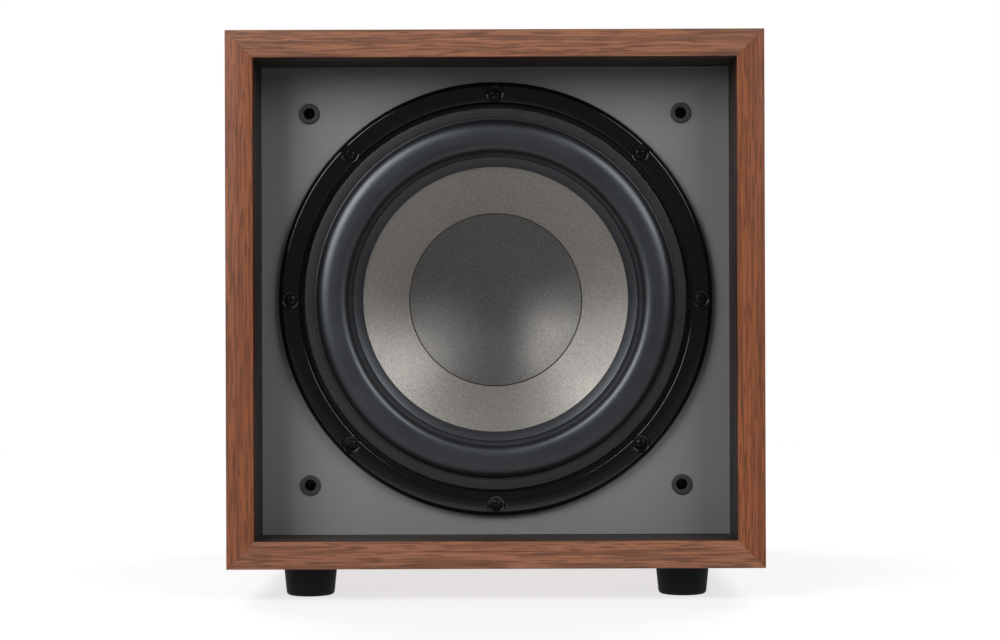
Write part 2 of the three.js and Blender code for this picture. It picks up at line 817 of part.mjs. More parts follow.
function amplifier() {
  const unit = group(subwoofer, [0, 0, CENTRE_Z]);
  const at = ([x, z], y = 0) => [x, y, z];
  put(unit, "amp_plate", ampPlate(), BLACK_STEEL);
  put(unit, "amp_gasket", ampGasket(), RUBBER);
  const board = boxBetween([-80, BOARD_Y, -110], [80, BOARD_Y + BOARD_THICKNESS, 110]);
  put(unit, "main_board", board, BOARD_GREEN);
  put(unit, "transformer", transformer(), TRANSFORMER_TAPE, [0, 0, -50]);
  put(unit, "transformer_bolt", transformerBolt(), PLATED_STEEL, [0, 0, -50]);
  put(unit, "heatsink", heatsink(), ALUMINIUM);
  put(unit, "capacitor_1", capacitor(), BLACK_PLASTIC, [-50, 0, 55]);
  put(unit, "capacitor_2", capacitor(), BLACK_PLASTIC, [-18, 0, 55]);
  put(unit, "iec_inlet", iecInlet(), BLACK_PLASTIC, at(INLET_PLACE));
  put(unit, "power_switch_body", powerSwitchBody(), BLACK_PLASTIC, at(POWER_PLACE));
  put(unit, "power_rocker", powerRocker(), BLACK_PLASTIC, at(POWER_PLACE, PIVOT_Y));
  Object.entries(POT_PLACES).forEach(([name, place]) => {
    put(unit, `${name}_knob`, knob(), BLACK_PLASTIC, at(place));
    put(unit, `${name}_pot`, potentiometer(), PLATED_STEEL, at(place));
  });
  put(unit, "phase_switch_body", slideSwitchBody(PHASE_TRAVEL), PLATED_STEEL, at(PHASE_PLACE));
  put(unit, "phase_switch", slider(PHASE_TRAVEL), BLACK_PLASTIC, at(PHASE_PLACE));
  put(unit, "mode_switch_body", slideSwitchBody(MODE_TRAVEL), PLATED_STEEL, at(MODE_PLACE));
  put(unit, "mode_switch", slider(MODE_TRAVEL), BLACK_PLASTIC, at(MODE_PLACE));
  Object.entries(JACK_PLACES).forEach(([name, place]) =>
    put(unit, `rca_jack_${name}`, phonoJack(), GOLD, at(place)),
  );
  put(unit, "status_led", statusLed(), LED_LENS, at(LED_PLACE));
}

// ---------------------------------------------------------------- wires from the board to the driver

// The route starts straight off a terminal tab and ends square to the board.
function driverWire(side) {
  const axisZ = CENTRE_Z + DRIVER_RISE;
  const startX = TAB_TIP_X + GAP;
  const startY = BAFFLE_Y + TAB_Y;
  const route = new THREE.CatmullRomCurve3(
    [
      [startX, startY, axisZ + side * TAB_Z],
      [startX + 8, startY + 3, axisZ + side * TAB_Z],
      [startX + 12, startY + 22, axisZ + side * 6],
      [startX + 8, startY + 80, axisZ - 8 + side * 3.5],
      [startX - 6, startY + 150, axisZ - 12 + side * 3],
      [startX - 24, startY + 215, axisZ + 8 + side * 3],
      [startX - 31, BOARD_Y - 12, axisZ + 25 + side * 4],
      [startX - 31, BOARD_Y - GAP, axisZ + 25 + side * 4],
    ].map((point) => new THREE.Vector3(...point)),
    false,
    "centripetal",
  );
  const section = polygon(circlePoints(0, 0, 1.5, 8));
  return new THREE.ExtrudeGeometry(section, { steps: 20, bevelEnabled: false, extrudePath: route });
}

cabinet();
driver();
amplifier();
put(subwoofer, "driver_wire_positive", driverWire(1), RED_PVC);
put(subwoofer, "driver_wire_negative", driverWire(-1), BLACK_PVC);

export default subwoofer;
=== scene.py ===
"""The looks of a free-standing subwoofer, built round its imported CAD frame.

Metres, +Z up, the front faces -Y. Places and overall sizes come from the frame's own boxes;
the small numbers, in millimetres, are details that the frame is too coarse to hold.
"""

import json
import math

import bmesh
import bpy
import numpy as np
from mathutils import Matrix, Vector, noise


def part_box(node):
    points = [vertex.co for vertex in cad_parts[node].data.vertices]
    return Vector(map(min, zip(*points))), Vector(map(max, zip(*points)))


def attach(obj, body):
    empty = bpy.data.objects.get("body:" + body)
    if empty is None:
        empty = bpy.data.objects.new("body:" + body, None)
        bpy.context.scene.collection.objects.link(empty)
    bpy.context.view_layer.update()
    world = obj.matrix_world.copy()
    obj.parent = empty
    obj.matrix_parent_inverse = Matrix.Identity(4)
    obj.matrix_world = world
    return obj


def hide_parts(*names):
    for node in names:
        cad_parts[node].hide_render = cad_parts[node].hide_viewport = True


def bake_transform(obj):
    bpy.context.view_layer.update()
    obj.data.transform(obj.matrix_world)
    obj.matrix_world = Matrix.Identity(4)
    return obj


MM = 0.001
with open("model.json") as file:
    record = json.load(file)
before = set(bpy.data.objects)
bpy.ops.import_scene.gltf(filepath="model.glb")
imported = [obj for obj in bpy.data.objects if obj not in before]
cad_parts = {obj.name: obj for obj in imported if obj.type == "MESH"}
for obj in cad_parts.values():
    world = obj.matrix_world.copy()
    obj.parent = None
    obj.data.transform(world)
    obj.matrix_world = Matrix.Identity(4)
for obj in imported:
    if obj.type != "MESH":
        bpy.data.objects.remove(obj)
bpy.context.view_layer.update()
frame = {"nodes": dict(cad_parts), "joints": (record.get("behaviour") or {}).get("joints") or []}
NODES = frame["nodes"]


# ---------------------------------------------------------------- materials


def srgb(red, green, blue):
    """Display values from 0 to 255 as the linear colour that a shader takes."""
    shares = [v / 255 for v in (red, green, blue)]
    return (*[v / 12.92 if v < 0.04 else ((v + 0.055) / 1.055) ** 2.4 for v in shares], 1.0)


class Finish:
    """A Principled material in the object's own coordinates, and the nodes that feed it."""

    def __init__(self, name, colour, roughness, metallic=0.0, **sockets):
        self.material = bpy.data.materials.new(name)
        self.material.use_nodes = True
        self.tree = self.material.node_tree
        self.shader = self.tree.nodes["Principled BSDF"]
        self.place = self.tree.nodes.new("ShaderNodeTexCoord").outputs["Object"]
        basics = {"Base Color": colour, "Roughness": roughness, "Metallic": metallic}
        named = {key.replace("_", " "): value for key, value in sockets.items()}
        for key, value in {**basics, **named}.items():
            self.set(key, value)
        self.material.diffuse_color = colour

    def feed(self, socket, value):
        if isinstance(value, bpy.types.NodeSocket):
            self.tree.links.new(value, socket)
        else:
            socket.default_value = value

    def set(self, key, value):
        self.feed(self.shader.inputs[key], value)

    def add(self, kind, inputs, **settings):
        node = self.tree.nodes.new("ShaderNode" + kind)
        for key, value in settings.items():
            setattr(node, key, value)
        for key, value in inputs.items():
            self.feed(node.inputs[key], value)
        return node

    def noise(self, scale, detail=2.0, distortion=0.0, seed=0.0):
        """Noise with so many features to the metre, along each axis where three are given."""
        rates = scale if isinstance(scale, tuple) else (scale,) * 3
        spot = self.add("Mapping", {"Vector": self.place, "Scale": rates, "Location": (seed,) * 3})
        inputs = {"Vector": spot.outputs[0], "Scale": 1.0, "Detail": detail, "Distortion": distortion}
        return self.add("TexNoise", inputs).outputs["Fac"]

    def ramp(self, value, *stops):
        """Colours or plain numbers at places along a value, joined by straight lines."""
        node = self.add("ValToRGB", {"Fac": value})
        band = node.color_ramp
        while len(band.elements) < len(stops):
            band.elements.new(0.5)
        for element, (position, colour) in zip(band.elements, stops):
            element.position = position
            element.color = colour if isinstance(colour, tuple) else (colour,) * 3 + (1.0,)
        return node.outputs["Color"]

    def mix(self, share, first, second):
        node = self.add("Mix", {}, data_type="RGBA")
        for place, value in ((0, share), (6, first), (7, second)):
            self.feed(node.inputs[place], value)
        return node.outputs[2]

    def bump(self, height, depth, strength=1.0):
        """Relief of so many metres; a second call adds to the first."""
        inputs = {"Height": height, "Distance": depth, "Strength": strength}
        before = self.shader.inputs["Normal"].links
        if before:
            inputs["Normal"] = before[0].from_socket
        self.set("Normal", self.add("Bump", inputs).outputs[0])


def veneer(name, grain_axis, seed, tint):
    """Brown walnut veneer whose grain runs along one axis, with dark flecks and open pores."""
    coat = {"Coat_Weight": 0.1, "Coat_Roughness": 0.3}
    finish = Finish(name, srgb(*tint), 0.5, Specular_IOR_Level=0.35, **coat)

    def shade(factor, warmth=1.0):
        red, green, blue = (v * factor for v in tint)
        return srgb(red, green * (2 - warmth), blue * (2 - warmth) ** 2)

    def grain(along, across, **more):
        rates = [across] * 3
        rates[grain_axis] = along
        return finish.noise(tuple(rates), **more)

    broad = grain(2, 30, detail=2.0, distortion=0.6, seed=seed)
    streak = grain(14, 560, detail=3.0, distortion=0.3, seed=seed + 3)
    fleck = grain(50, 1000, detail=1.5, distortion=0.2, seed=seed + 7)
    fibre = grain(30, 1500, detail=1.0, seed=seed + 11)
    tone = finish.ramp(broad, (0.3, shade(0.92)), (0.5, shade(1.0)), (0.72, shade(1.1, 0.98)))
    tone = finish.mix(finish.ramp(fibre, (0.35, 0.0), (0.65, 0.5)), tone, shade(1.16, 0.98))
    tone = finish.mix(finish.ramp(streak, (0.46, 0.0), (0.6, 0.75)), tone, shade(0.76, 1.04))
    tone = finish.mix(finish.ramp(fleck, (0.52, 0.0), (0.62, 0.75)), tone, shade(0.66, 1.03))
    finish.set("Base Color", tone)
    finish.set("Roughness", finish.ramp(streak, (0.3, 0.42), (0.7, 0.6)))
    finish.bump(finish.ramp(fleck, (0.5, 1.0), (0.7, 0.0)), 0.05 * MM, 0.5)
    finish.bump(fibre, 0.02 * MM, 0.4)
    return finish.material


def speckled(name, colour, roughness, scale, spread, depth, metallic=0.0, swing=0.05, **sockets):
    """A paint, plastic, rubber or metal with a fine tone and gloss variation and a fine relief."""
    finish = Finish(name, colour, roughness, metallic, **sockets)
    fine = finish.noise(scale, detail=2.0)
    slow = finish.noise(scale / 40, detail=2.0, seed=5.0)
    shades = [tuple(c * k for c in colour[:3]) + (1.0,) for k in (1 - spread, 1.0, 1 + spread)]
    tone = finish.ramp(fine, (0.3, shades[0]), (0.5, shades[1]), (0.7, shades[2]))
    finish.set("Base Color", tone)
    finish.set("Roughness", finish.ramp(slow, (0.3, roughness - swing), (0.7, roughness + swing)))
    finish.bump(fine, depth, 0.6)
    return finish.material


# one walnut in two tints: the across tint is lighter and cooler than the upright one as painted sheen,
# since the same wood catches the light differently across its grain
WALNUT_ACROSS = veneer("walnut_across", 0, 1.3, (140, 91, 66))
WALNUT_UPRIGHT = veneer("walnut_upright", 2, 4.1, (134, 75, 44))
# darker copies of the walnut for the veneer turned in behind the front edge: painted shade of the recess
PAINTED_SHADE_ACROSS = veneer("walnut_painted_shade_across", 0, 2.6, (62, 38, 28))
PAINTED_SHADE_UPRIGHT = veneer("walnut_painted_shade_upright", 2, 6.2, (62, 36, 24))
INNER_BLACK = speckled("inner_black_paint", srgb(40, 37, 35), 0.6, 900, 0.15, 0.03 * MM)
BAFFLE_GREY = speckled("baffle_grey_paint", srgb(118, 117, 116), 0.5, 1300, 0.07, 0.03 * MM)
REAR_BLACK = speckled("rear_black_vinyl", srgb(30, 30, 30), 0.6, 700, 0.2, 0.08 * MM)
FLANGE_GLOSS = speckled(
    "flange_gloss_black", srgb(8, 9, 10), 0.09, 260, 0.1, 0.001 * MM, swing=0.02, Coat_Weight=0.5
)
FRAME_MATTE = speckled(
    "frame_matte_black", srgb(9, 9, 10), 0.6, 900, 0.2, 0.02 * MM, Specular_IOR_Level=0.2
)
CLAMP_RUBBER = speckled("clamp_ring_rubber", srgb(19, 19, 21), 0.5, 2300, 0.3, 0.06 * MM)
ROLL_RUBBER = speckled(
    "roll_rubber", srgb(14, 15, 18), 0.4, 1500, 0.1, 0.012 * MM, swing=0.03, Specular_IOR_Level=1.0,
    Specular_Tint=(0.88, 0.94, 1.0, 1.0)
)
CONE_METAL = speckled("cone_satin_metal", srgb(136, 132, 127), 0.42, 950, 0.22, 0.04 * MM, metallic=0.65)
CAP_METAL = speckled("cap_satin_metal", srgb(86, 84, 82), 0.4, 950, 0.25, 0.04 * MM, metallic=0.65)
JOINT_GLUE = speckled("joint_black_glue", srgb(20, 19, 18), 0.6, 900, 0.2, 0.02 * MM)
SOCKET_PLASTIC = speckled("socket_black_plastic", srgb(44, 44, 45), 0.5, 1500, 0.12, 0.03 * MM)
FOOT_RUBBER = speckled(
    "foot_black_rubber", srgb(10, 10, 11), 0.62, 900, 0.2, 0.05 * MM, Specular_IOR_Level=0.25
)
SCREW_BLACK = speckled("screw_black_steel", srgb(26, 26, 27), 0.28, 1200, 0.15, 0.01 * MM, metallic=0.6)
AMP_BLACK = speckled("amp_plate_black", srgb(28, 28, 29), 0.45, 1100, 0.15, 0.04 * MM, metallic=0.2)
ANODISED = speckled("heatsink_anodised", srgb(34, 34, 36), 0.38, 1400, 0.12, 0.01 * MM, metallic=0.7)
BLACK_PLASTIC = speckled("black_plastic", srgb(27, 27, 28), 0.5, 1300, 0.12, 0.03 * MM)
KNOB_PLASTIC = speckled("knob_soft_black", srgb(24, 24, 25), 0.42, 1500, 0.12, 0.02 * MM)
PRINT_WHITE = speckled("print_white", srgb(214, 214, 210), 0.6, 1800, 0.04, 0.01 * MM)
PRINT_RED = speckled("jack_red_plastic", srgb(150, 22, 20), 0.4, 1500, 0.06, 0.01 * MM)
GOLD = speckled("gold_plate", srgb(214, 168, 92), 0.25, 900, 0.06, 0.005 * MM, metallic=1.0)
NICKEL = speckled("nickel_plate", srgb(178, 176, 170), 0.28, 900, 0.06, 0.005 * MM, metallic=1.0)
STEEL = speckled("zinc_steel", srgb(150, 152, 154), 0.34, 500, 0.1, 0.01 * MM, metallic=0.95)
ALUMINIUM = speckled("former_aluminium", srgb(184, 185, 187), 0.35, 900, 0.05, 0.01 * MM, metallic=1.0)
FERRITE = speckled("magnet_ferrite", srgb(46, 46, 48), 0.75, 600, 0.25, 0.06 * MM)
SPIDER_CLOTH = speckled("spider_cloth", srgb(178, 136, 62), 0.9, 2200, 0.3, 0.15 * MM)
LED_BLUE = Finish(
    "led_blue_lens", srgb(70, 120, 225), 0.15, Emission_Color=srgb(80, 140, 255), Emission_Strength=0.6
).material
RED_WIRE = speckled("wire_red_pvc", srgb(160, 32, 30), 0.45, 800, 0.06, 0.02 * MM)
BLACK_WIRE = speckled("wire_black_pvc", srgb(24, 24, 25), 0.45, 800, 0.1, 0.02 * MM)
SLEEVE = speckled("capacitor_sleeve", srgb(26, 34, 58), 0.35, 500, 0.08, 0.01 * MM)
FELT = speckled("wadding_fibre", srgb(202, 199, 190), 0.95, 700, 0.25, 0.5 * MM, Sheen_Weight=0.4)


def ringed(name, colour, roughness, pitch, contrast, metallic=0.0):
    """Turns of wire or tape: bands that follow one another along Y."""
    finish = Finish(name, colour, roughness, metallic)
    inputs = {"Vector": finish.place, "Scale": 1 / pitch / 20, "Distortion": 0.4, "Detail": 1.0}
    band = finish.add("TexWave", inputs, bands_direction="Y").outputs["Fac"]
    dark = tuple(c * (1 - contrast) for c in colour[:3]) + (1.0,)
    finish.set("Base Color", finish.mix(band, dark, colour))
    finish.bump(band, 0.2 * MM, 0.6)
    return finish.material


COPPER = ringed("coil_copper_wire", srgb(184, 108, 58), 0.35, 0.5 * MM, 0.4, metallic=0.9)
TAPE = ringed("transformer_tape", srgb(196, 160, 56), 0.5, 6 * MM, 0.15)


def circuit_board():
    """Green solder mask with darker tracks under it."""
    finish = Finish("board_green_mask", srgb(26, 84, 48), 0.35)
    spot = finish.add("Mapping", {"Vector": finish.place, "Scale": (140.0, 1.0, 140.0)})
    inputs = {"Vector": spot.outputs[0], "Scale": 1.0, "Randomness": 0.9}
    cells = finish.add("TexVoronoi", inputs, distance="MANHATTAN").outputs["Distance"]
    tracks = finish.ramp(cells, (0.3, 0.0), (0.34, 1.0))
    finish.set("Base Color", finish.mix(tracks, srgb(22, 68, 40), srgb(36, 104, 60)))
    finish.bump(tracks, 0.04 * MM, 0.5)
    return finish.material


BOARD = circuit_board()

# ---------------------------------------------------------------- mesh helpers

UP = Vector((0, 0, 1))
FINE = 192  # steps round a large circle
SMALL = 48  # steps round a small one


def finished(name, mesh, material, crease=34):
    """A mesh as an object of the scene, smooth but for edges sharper than the crease."""
    mesh.name = name
    if material:
        mesh.materials.clear()
        mesh.materials.append(material)
    mesh.shade_smooth()
    mesh.set_sharp_from_angle(angle=math.radians(crease))
    made = bpy.data.objects.new(name, mesh)
    bpy.context.scene.collection.objects.link(made)
    return made


def from_points(points, faces):
    """A mesh with its corners welded and its faces turned outwards."""
    mesh = bpy.data.meshes.new("mesh")
    mesh.from_pydata([tuple(p) for p in points], [], faces)
    edit = bmesh.new()
    edit.from_mesh(mesh)
    bmesh.ops.remove_doubles(edit, verts=edit.verts, dist=1e-7)
    bmesh.ops.recalc_face_normals(edit, faces=edit.faces)
    edit.to_mesh(mesh)
    edit.free()
    return mesh


def rounded(outline, steps=4):
    """A closed outline whose corners given as [a, b, radius] are rounded to that radius."""
    made = []
    for k, corner in enumerate(outline):
        radius = corner[2] if len(corner) > 2 else 0
        here = Vector(corner[:2])
        if not radius:
            made.append(here)
            continue
        before = (Vector(outline[k - 1][:2]) - here).normalized()
        after = (Vector(outline[(k + 1) % len(outline)][:2]) - here).normalized()
        half = before.angle(after) / 2
        middle = here + (before + after).normalized() * (radius / math.sin(half))
        start = here + before * (radius / math.tan(half)) - middle
        turn = (math.pi - 2 * half) * (1 if before.cross(after) < 0 else -1)
        for step in range(steps + 1):
            angle = turn * step / steps
            c, s = math.cos(angle), math.sin(angle)
            made.append(middle + Vector((start.x * c - start.y * s, start.x * s + start.y * c)))
    return made


def arc(centre_a, centre_b, radius, start, end, steps):
    """Points about a centre from one angle to another, in degrees, both ends included."""
    angles = np.radians(np.linspace(start, end, steps + 1))
    return [(centre_a + radius * math.cos(a), centre_b + radius * math.sin(a)) for a in angles]


def lathe(outline, centre, steps=SMALL, axis="Y"):
    """A solid of revolution; the closed outline is [radius, distance along the axis] in mm."""
    rings = []
    points = []
    for radius, along in rounded(outline):
        if radius < 1e-6:
            rings.append([len(points)] * steps)
            points.append(Vector((0, along, 0)))
            continue
        rings.append(list(range(len(points), len(points) + steps)))
        for k in range(steps):
            angle = 2 * math.pi * k / steps
            points.append(Vector((radius * math.cos(angle), along, radius * math.sin(angle))))
    faces = []
    for ring, after in zip(rings, rings[1:] + rings[:1]):
        for k in range(steps):
            corners = [ring[k], ring[(k + 1) % steps], after[(k + 1) % steps], after[k]]
            face = list(dict.fromkeys(corners))
            if len(face) > 2:
                faces.append(face)
    if axis == "Z":
        points = [Vector((p.x, -p.z, p.y)) for p in points]
    return from_points([p * MM + Vector(centre) for p in points], faces)


def prism(outlines, low, high, edge, axis="Y", bevel_steps=2):
    """A plate between two distances along an axis, its rims eased; the first outline is its
    edge and the others are holes. All in metres. An outline is in X and Z, in Y and Z where the
    axis is X, and in X and Y where it is Z."""
    curve = bpy.data.curves.new("plate", "CURVE")
    curve.dimensions = "2D"
    curve.fill_mode = "BOTH"
    curve.extrude = (high - low) / 2 - edge
    curve.bevel_depth = edge
    curve.bevel_resolution = bevel_steps
    curve.offset = -edge
    for outline in outlines:
        spline = curve.splines.new("POLY")
        spline.points.add(len(outline) - 1)
        for point, (a, b) in zip(spline.points, outline):
            point.co = (a, b, 0, 1)
        spline.use_cyclic_u = True
    holder = bpy.data.objects.new("plate", curve)
    mesh = bpy.data.meshes.new_from_object(holder)
    bpy.data.objects.remove(holder)
    middle = (low + high) / 2
    frames = {
        "Y": ((1, 0, 0), (0, 0, -1), (0, 1, 0), (0, middle, 0)),
        "X": ((0, 0, 1), (1, 0, 0), (0, 1, 0), (middle, 0, 0)),
        "Z": ((1, 0, 0), (0, 1, 0), (0, 0, 1), (0, 0, middle)),
    }
    rows = [(*frames[axis][k], frames[axis][3][k]) for k in range(3)]
    mesh.transform(Matrix((*rows, (0, 0, 0, 1))))
    edit = bmesh.new()
    edit.from_mesh(mesh)
    bmesh.ops.remove_doubles(edit, verts=edit.verts, dist=1e-6)
    bmesh.ops.recalc_face_normals(edit, faces=edit.faces)
    edit.to_mesh(mesh)
    edit.free()
    return mesh


def block(low, high, edge, steps=2):
    """A box between two corners with every edge rounded."""
    edit = bmesh.new()
    size = Vector(high) - Vector(low)
    place = Matrix.Translation((Vector(high) + Vector(low)) / 2) @ Matrix.Diagonal((*size, 1))
    bmesh.ops.create_cube(edit, size=1, matrix=place)
    if edge:
        bmesh.ops.bevel(
            edit, geom=edit.edges[:], offset=edge, segments=steps, profile=0.5, affect="EDGES"
        )
    mesh = bpy.data.meshes.new("block")
    edit.to_mesh(mesh)
    edit.free()
    return mesh


def joined(*meshes):
    """Several meshes as one, each keeping its own closed surface."""
    edit = bmesh.new()
    for mesh in meshes:
        edit.from_mesh(mesh)
    made = bpy.data.meshes.new("joined")
    edit.to_mesh(made)
    edit.free()
    return made


def carved(mesh, *cutters):
    """The mesh less its cutters, which don't touch each other."""
    base, tool = (bpy.data.objects.new("carve", m) for m in (mesh, joined(*cutters)))
    for holder in (base, tool):
        bpy.context.scene.collection.objects.link(holder)
    cut = base.modifiers.new("cut", "BOOLEAN")
    cut.operation, cut.solver, cut.object = "DIFFERENCE", "MANIFOLD", tool
    graph = bpy.context.evaluated_depsgraph_get()
    made = bpy.data.meshes.new_from_object(base.evaluated_get(graph), depsgraph=graph)
    for holder in (base, tool):
        bpy.data.objects.remove(holder)
    return made


def moved(mesh, place=(0, 0, 0), turn=0.0, axis="Y"):
    """A copy of a mesh, turned about an axis through the origin and then carried to a place."""
    made = mesh.copy()
    made.transform(Matrix.Translation(Vector(place)) @ Matrix.Rotation(turn, 4, axis))
    return made


def circle(centre, radius, count=SMALL):
    """Points round a circle in X and Z, in metres."""
    angles = [2 * math.pi * k / count for k in range(count)]
    return [(centre[0] + radius * math.cos(a), centre[1] + radius * math.sin(a)) for a in angles]


def rectangle(centre, width, height, radius):
    """A rectangle in X and Z with rounded corners, in metres."""
    x, z, w, h = centre[0], centre[1], width / 2, height / 2
    corners = [(x - w, z - h), (x + w, z - h), (x + w, z + h), (x - w, z + h)]
    return [tuple(p) for p in rounded([(*c, radius) for c in corners])]


def middle(node):
    """The middle of a CAD node's box."""
    low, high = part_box(node)
    return (low + high) / 2


def place_piece(name, mesh, material, body, replaces=(), crease=34):
    """A finished piece that rides on a body, takes a slot's finish and stands for CAD nodes."""
    made = finished(name, mesh, material, crease)
    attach(made, body)
    if replaces:
        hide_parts(*replaces)
    return made


# ---------------------------------------------------------------- cabinet

cabinet_low, cabinet_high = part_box("left_panel")
FRONT_Y, REAR_Y = cabinet_low.y, cabinet_high.y
WALL = cabinet_high.x - cabinet_low.x
CENTRE = Vector((0, 0, (cabinet_low.z + cabinet_high.z) / 2))
HALF_WIDTH = -cabinet_low.x


def cabinet_panel(name, outward, material, painted_shade):
    """A mitred board with eased edges. Veneer turns in behind the front edge, darkened there as
    painted shade of the recess, and the rest of the inside is painted black."""
    ease, mitre_gap, wrap = 0.7 * MM, 0.05 * MM, 16 * MM
    inner, outer = HALF_WIDTH - WALL, HALF_WIDTH
    corners = [(FRONT_Y, inner), (REAR_Y, inner), (REAR_Y, outer), (FRONT_Y, outer)]
    profile = rounded([(*c, ease) for c in corners])
    first_rear = next(k for k, p in enumerate(profile) if p.x > (FRONT_Y + REAR_Y) / 2)
    profile.insert(first_rear, Vector((FRONT_Y + wrap, inner)))
    along = outward.cross(Vector((0, 1, 0)))
    points = []
    for side in (-1, 1):
        for y, out in profile:
            points.append(CENTRE + Vector((0, y, 0)) + outward * out + along * side * (out - mitre_gap))
    count = len(profile)
    faces = [[k, (k + 1) % count, count + (k + 1) % count, count + k] for k in range(count)]
    faces += [list(range(count)), list(range(count, 2 * count))]
    mesh = from_points(points, faces)
    for finish_material in (material, INNER_BLACK, painted_shade):
        mesh.materials.append(finish_material)
    # inward faces near the front take the darker walnut, which is painted shade of the recess; deeper ones
    # take the black paint
    for face in mesh.polygons:
        if face.normal.dot(outward) < -0.99:
            face.material_index = 1 if face.center.y > FRONT_Y + wrap else 2
    return place_piece(name + "_veneered", mesh, None, "cabinet", [name])


cabinet_panel("top_panel", UP, WALNUT_ACROSS, PAINTED_SHADE_ACROSS)
cabinet_panel("bottom_panel", -UP, WALNUT_ACROSS, PAINTED_SHADE_ACROSS)
cabinet_panel("left_panel", Vector((-1, 0, 0)), WALNUT_UPRIGHT, PAINTED_SHADE_UPRIGHT)
cabinet_panel("right_panel", Vector((1, 0, 0)), WALNUT_UPRIGHT, PAINTED_SHADE_UPRIGHT)

BAFFLE_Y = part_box("front_baffle")[0].y


def grille_sockets():
    """Moulded collars with a blind hole for the grille's pegs."""
    bore, collar, body, face = 3.75, 6.9, 5.2, -1.2
    outline = [(0, 14), (bore, 14), (bore, face, 0.45), (collar, face, 0.6), (collar, -0.25)]
    outline += [(body, -0.25), (body, 16), (0, 16)]
    for k in range(1, 5):
        node = f"grille_socket_{k}"
        spot = middle(node)
        mesh = lathe(outline, (spot.x, BAFFLE_Y, spot.z))
        place_piece(node + "_moulded", mesh, SOCKET_PLASTIC, "cabinet", [node])


grille_sockets()


def cross_screw(head_radius, head_height, shank, shank_radius=2.0):
    """A pan-head screw along +Y with a cross recess; its head's seat is at y 0. In mm."""
    top = -head_height
    body = lathe(
        [
            (0, top), (head_radius * 0.55, top + 0.05, 0.6), (head_radius, -head_height * 0.45, 0.5),
            (head_radius, 0), (shank_radius, 0), (shank_radius, shank - 3), (0, shank),
        ],
        (0, 0, 0),
    )
    arm, width, depth = head_radius * 0.62, head_radius * 0.16, head_height * 0.75
    bars = []
    for a, b in ((arm, width), (width, arm)):
        low, high = (-a * MM, (top - 1) * MM, -b * MM), (a * MM, (top + depth) * MM, b * MM)
        bars.append(block(low, high, 0))
    pit = lathe([(0, top - 1), (head_radius * 0.34, top - 1), (0, top + depth * 1.35)], (0, 0, 0), 16)
    return carved(carved(carved(body, bars[0]), bars[1]), pit)


def feet():
    """Tapered rubber feet, each held by a screw and washer up in its well."""
    screw = cross_screw(4.2, 2.6, 15)
    bore, well, roof, washer_thick = 2.3, 6, 7, 1
    for k in range(1, 5):
        node = f"foot_{k}"
        low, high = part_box(node)
        spot = middle(node)
        top = high.z / MM
        outline = [(bore, top), (bore, roof), (well, roof), (well, 0, 0.8)]
        outline += [(15.9, 0, 2.4), (18, top - 0.6), (17.6, top)]
        mesh = lathe(outline, (spot.x, spot.y, 0), 96, axis="Z")
        place_piece(node + "_moulded", mesh, FOOT_RUBBER, "cabinet", [node])
        under, over = roof - 0.1 - washer_thick, roof - 0.1
        ring = [(2.2, under, 0.2), (5.4, under, 0.2), (5.4, over), (2.2, over)]
        washer = lathe(ring, (spot.x, spot.y, 0), axis="Z")
        place_piece(f"foot_washer_{k}", washer, STEEL, "cabinet")
        upright = moved(screw, (0, 0, 0), math.radians(90), "X")
        upright = moved(upright, (spot.x, spot.y, 5.8 * MM), math.radians(37 * k), "Z")
        place_piece(f"foot_screw_{k}", upright, STEEL, "cabinet")


feet()

NODES["front_baffle"].data.materials[0] = BAFFLE_GREY
NODES["rear_panel"].data.materials[0] = REAR_BLACK

# ---------------------------------------------------------------- driver

basket_low, basket_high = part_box("driver_basket")
DRIVER = Vector((middle("driver_basket").x, BAFFLE_Y, middle("driver_basket").z))
FLANGE_R = (basket_high.x - basket_low.x) / 2 / MM
FACE_Y = (basket_low.y - BAFFLE_Y) / MM
SCREW_NODES = [f"driver_screw_{k}" for k in range(1, 9)]


MATTE_WITHIN = 131.2  # the frame is gloss outside this radius, in mm


def driver_frame():
    """The cast frame: a gloss rim with sunk screws, a shelf, and a cage of eight spokes."""
    outline = [
        (118.8, -2.2, 0.3), (131.3, -2.2, 0.5), (131.3, FACE_Y, 0.5), (FLANGE_R - 2.8, FACE_Y, 0.9),
        (FLANGE_R, FACE_Y + 2.8, 0.8), (FLANGE_R, -0.3), (134.6, -0.3), (134.6, -1.9), (131.9, -1.9),
        (131.9, -0.3), (128.8, -0.3), (128.8, 14, 3), (79, 52, 4), (79, 58, 1), (62, 62, 1), (62, 75.7),
        (50, 75.7), (50, 68, 2), (66, 58, 1), (66, 54.2), (74.6, 54.2), (76.5, 50.5, 3), (122.5, 12.5, 3),
        (122.5, 1), (118.8, 1),
    ]
    body = lathe(outline, (0, 0, 0), FINE)
    windows = []
    window = rectangle((0, 0), 27 * MM, 34 * MM, 6 * MM)
    for k in range(8):
        opening = prism([window], 78 * MM, 132 * MM, 0.1 * MM, axis="X", bevel_steps=0)
        windows.append(moved(moved(opening, (0, 32.5 * MM, 0)), (0, 0, 0), math.radians(45 * k)))
    bores = []
    for node in SCREW_NODES:
        x, z = ((middle(node) - DRIVER).xz) / MM
        sink = [(0, FACE_Y - 1), (6.9, FACE_Y - 1), (5.8, FACE_Y + 0.35), (5.8, -4, 0.6)]
        sink += [(2.9, -4), (2.9, 1), (0, 1)]
        bores.append(lathe(sink, (x * MM, 0, z * MM)))
    mesh = moved(carved(carved(body, *bores), *windows), DRIVER)
    place_piece(
        "driver_frame_cast", mesh, FLANGE_GLOSS, "cabinet", ["driver_basket"], 30
    )
    mesh.materials.append(FRAME_MATTE)
    for face in mesh.polygons:
        across = (face.center - DRIVER).xz.length / MM
        if across < MATTE_WITHIN:
            face.material_index = 1


driver_frame()


def driver_ring(name, outline, material, body="cabinet", replaces=()):
    """A piece turned about the driver's axis, with its distances taken from the baffle's face."""
    return place_piece(name, lathe(outline, DRIVER, FINE), material, body, replaces)


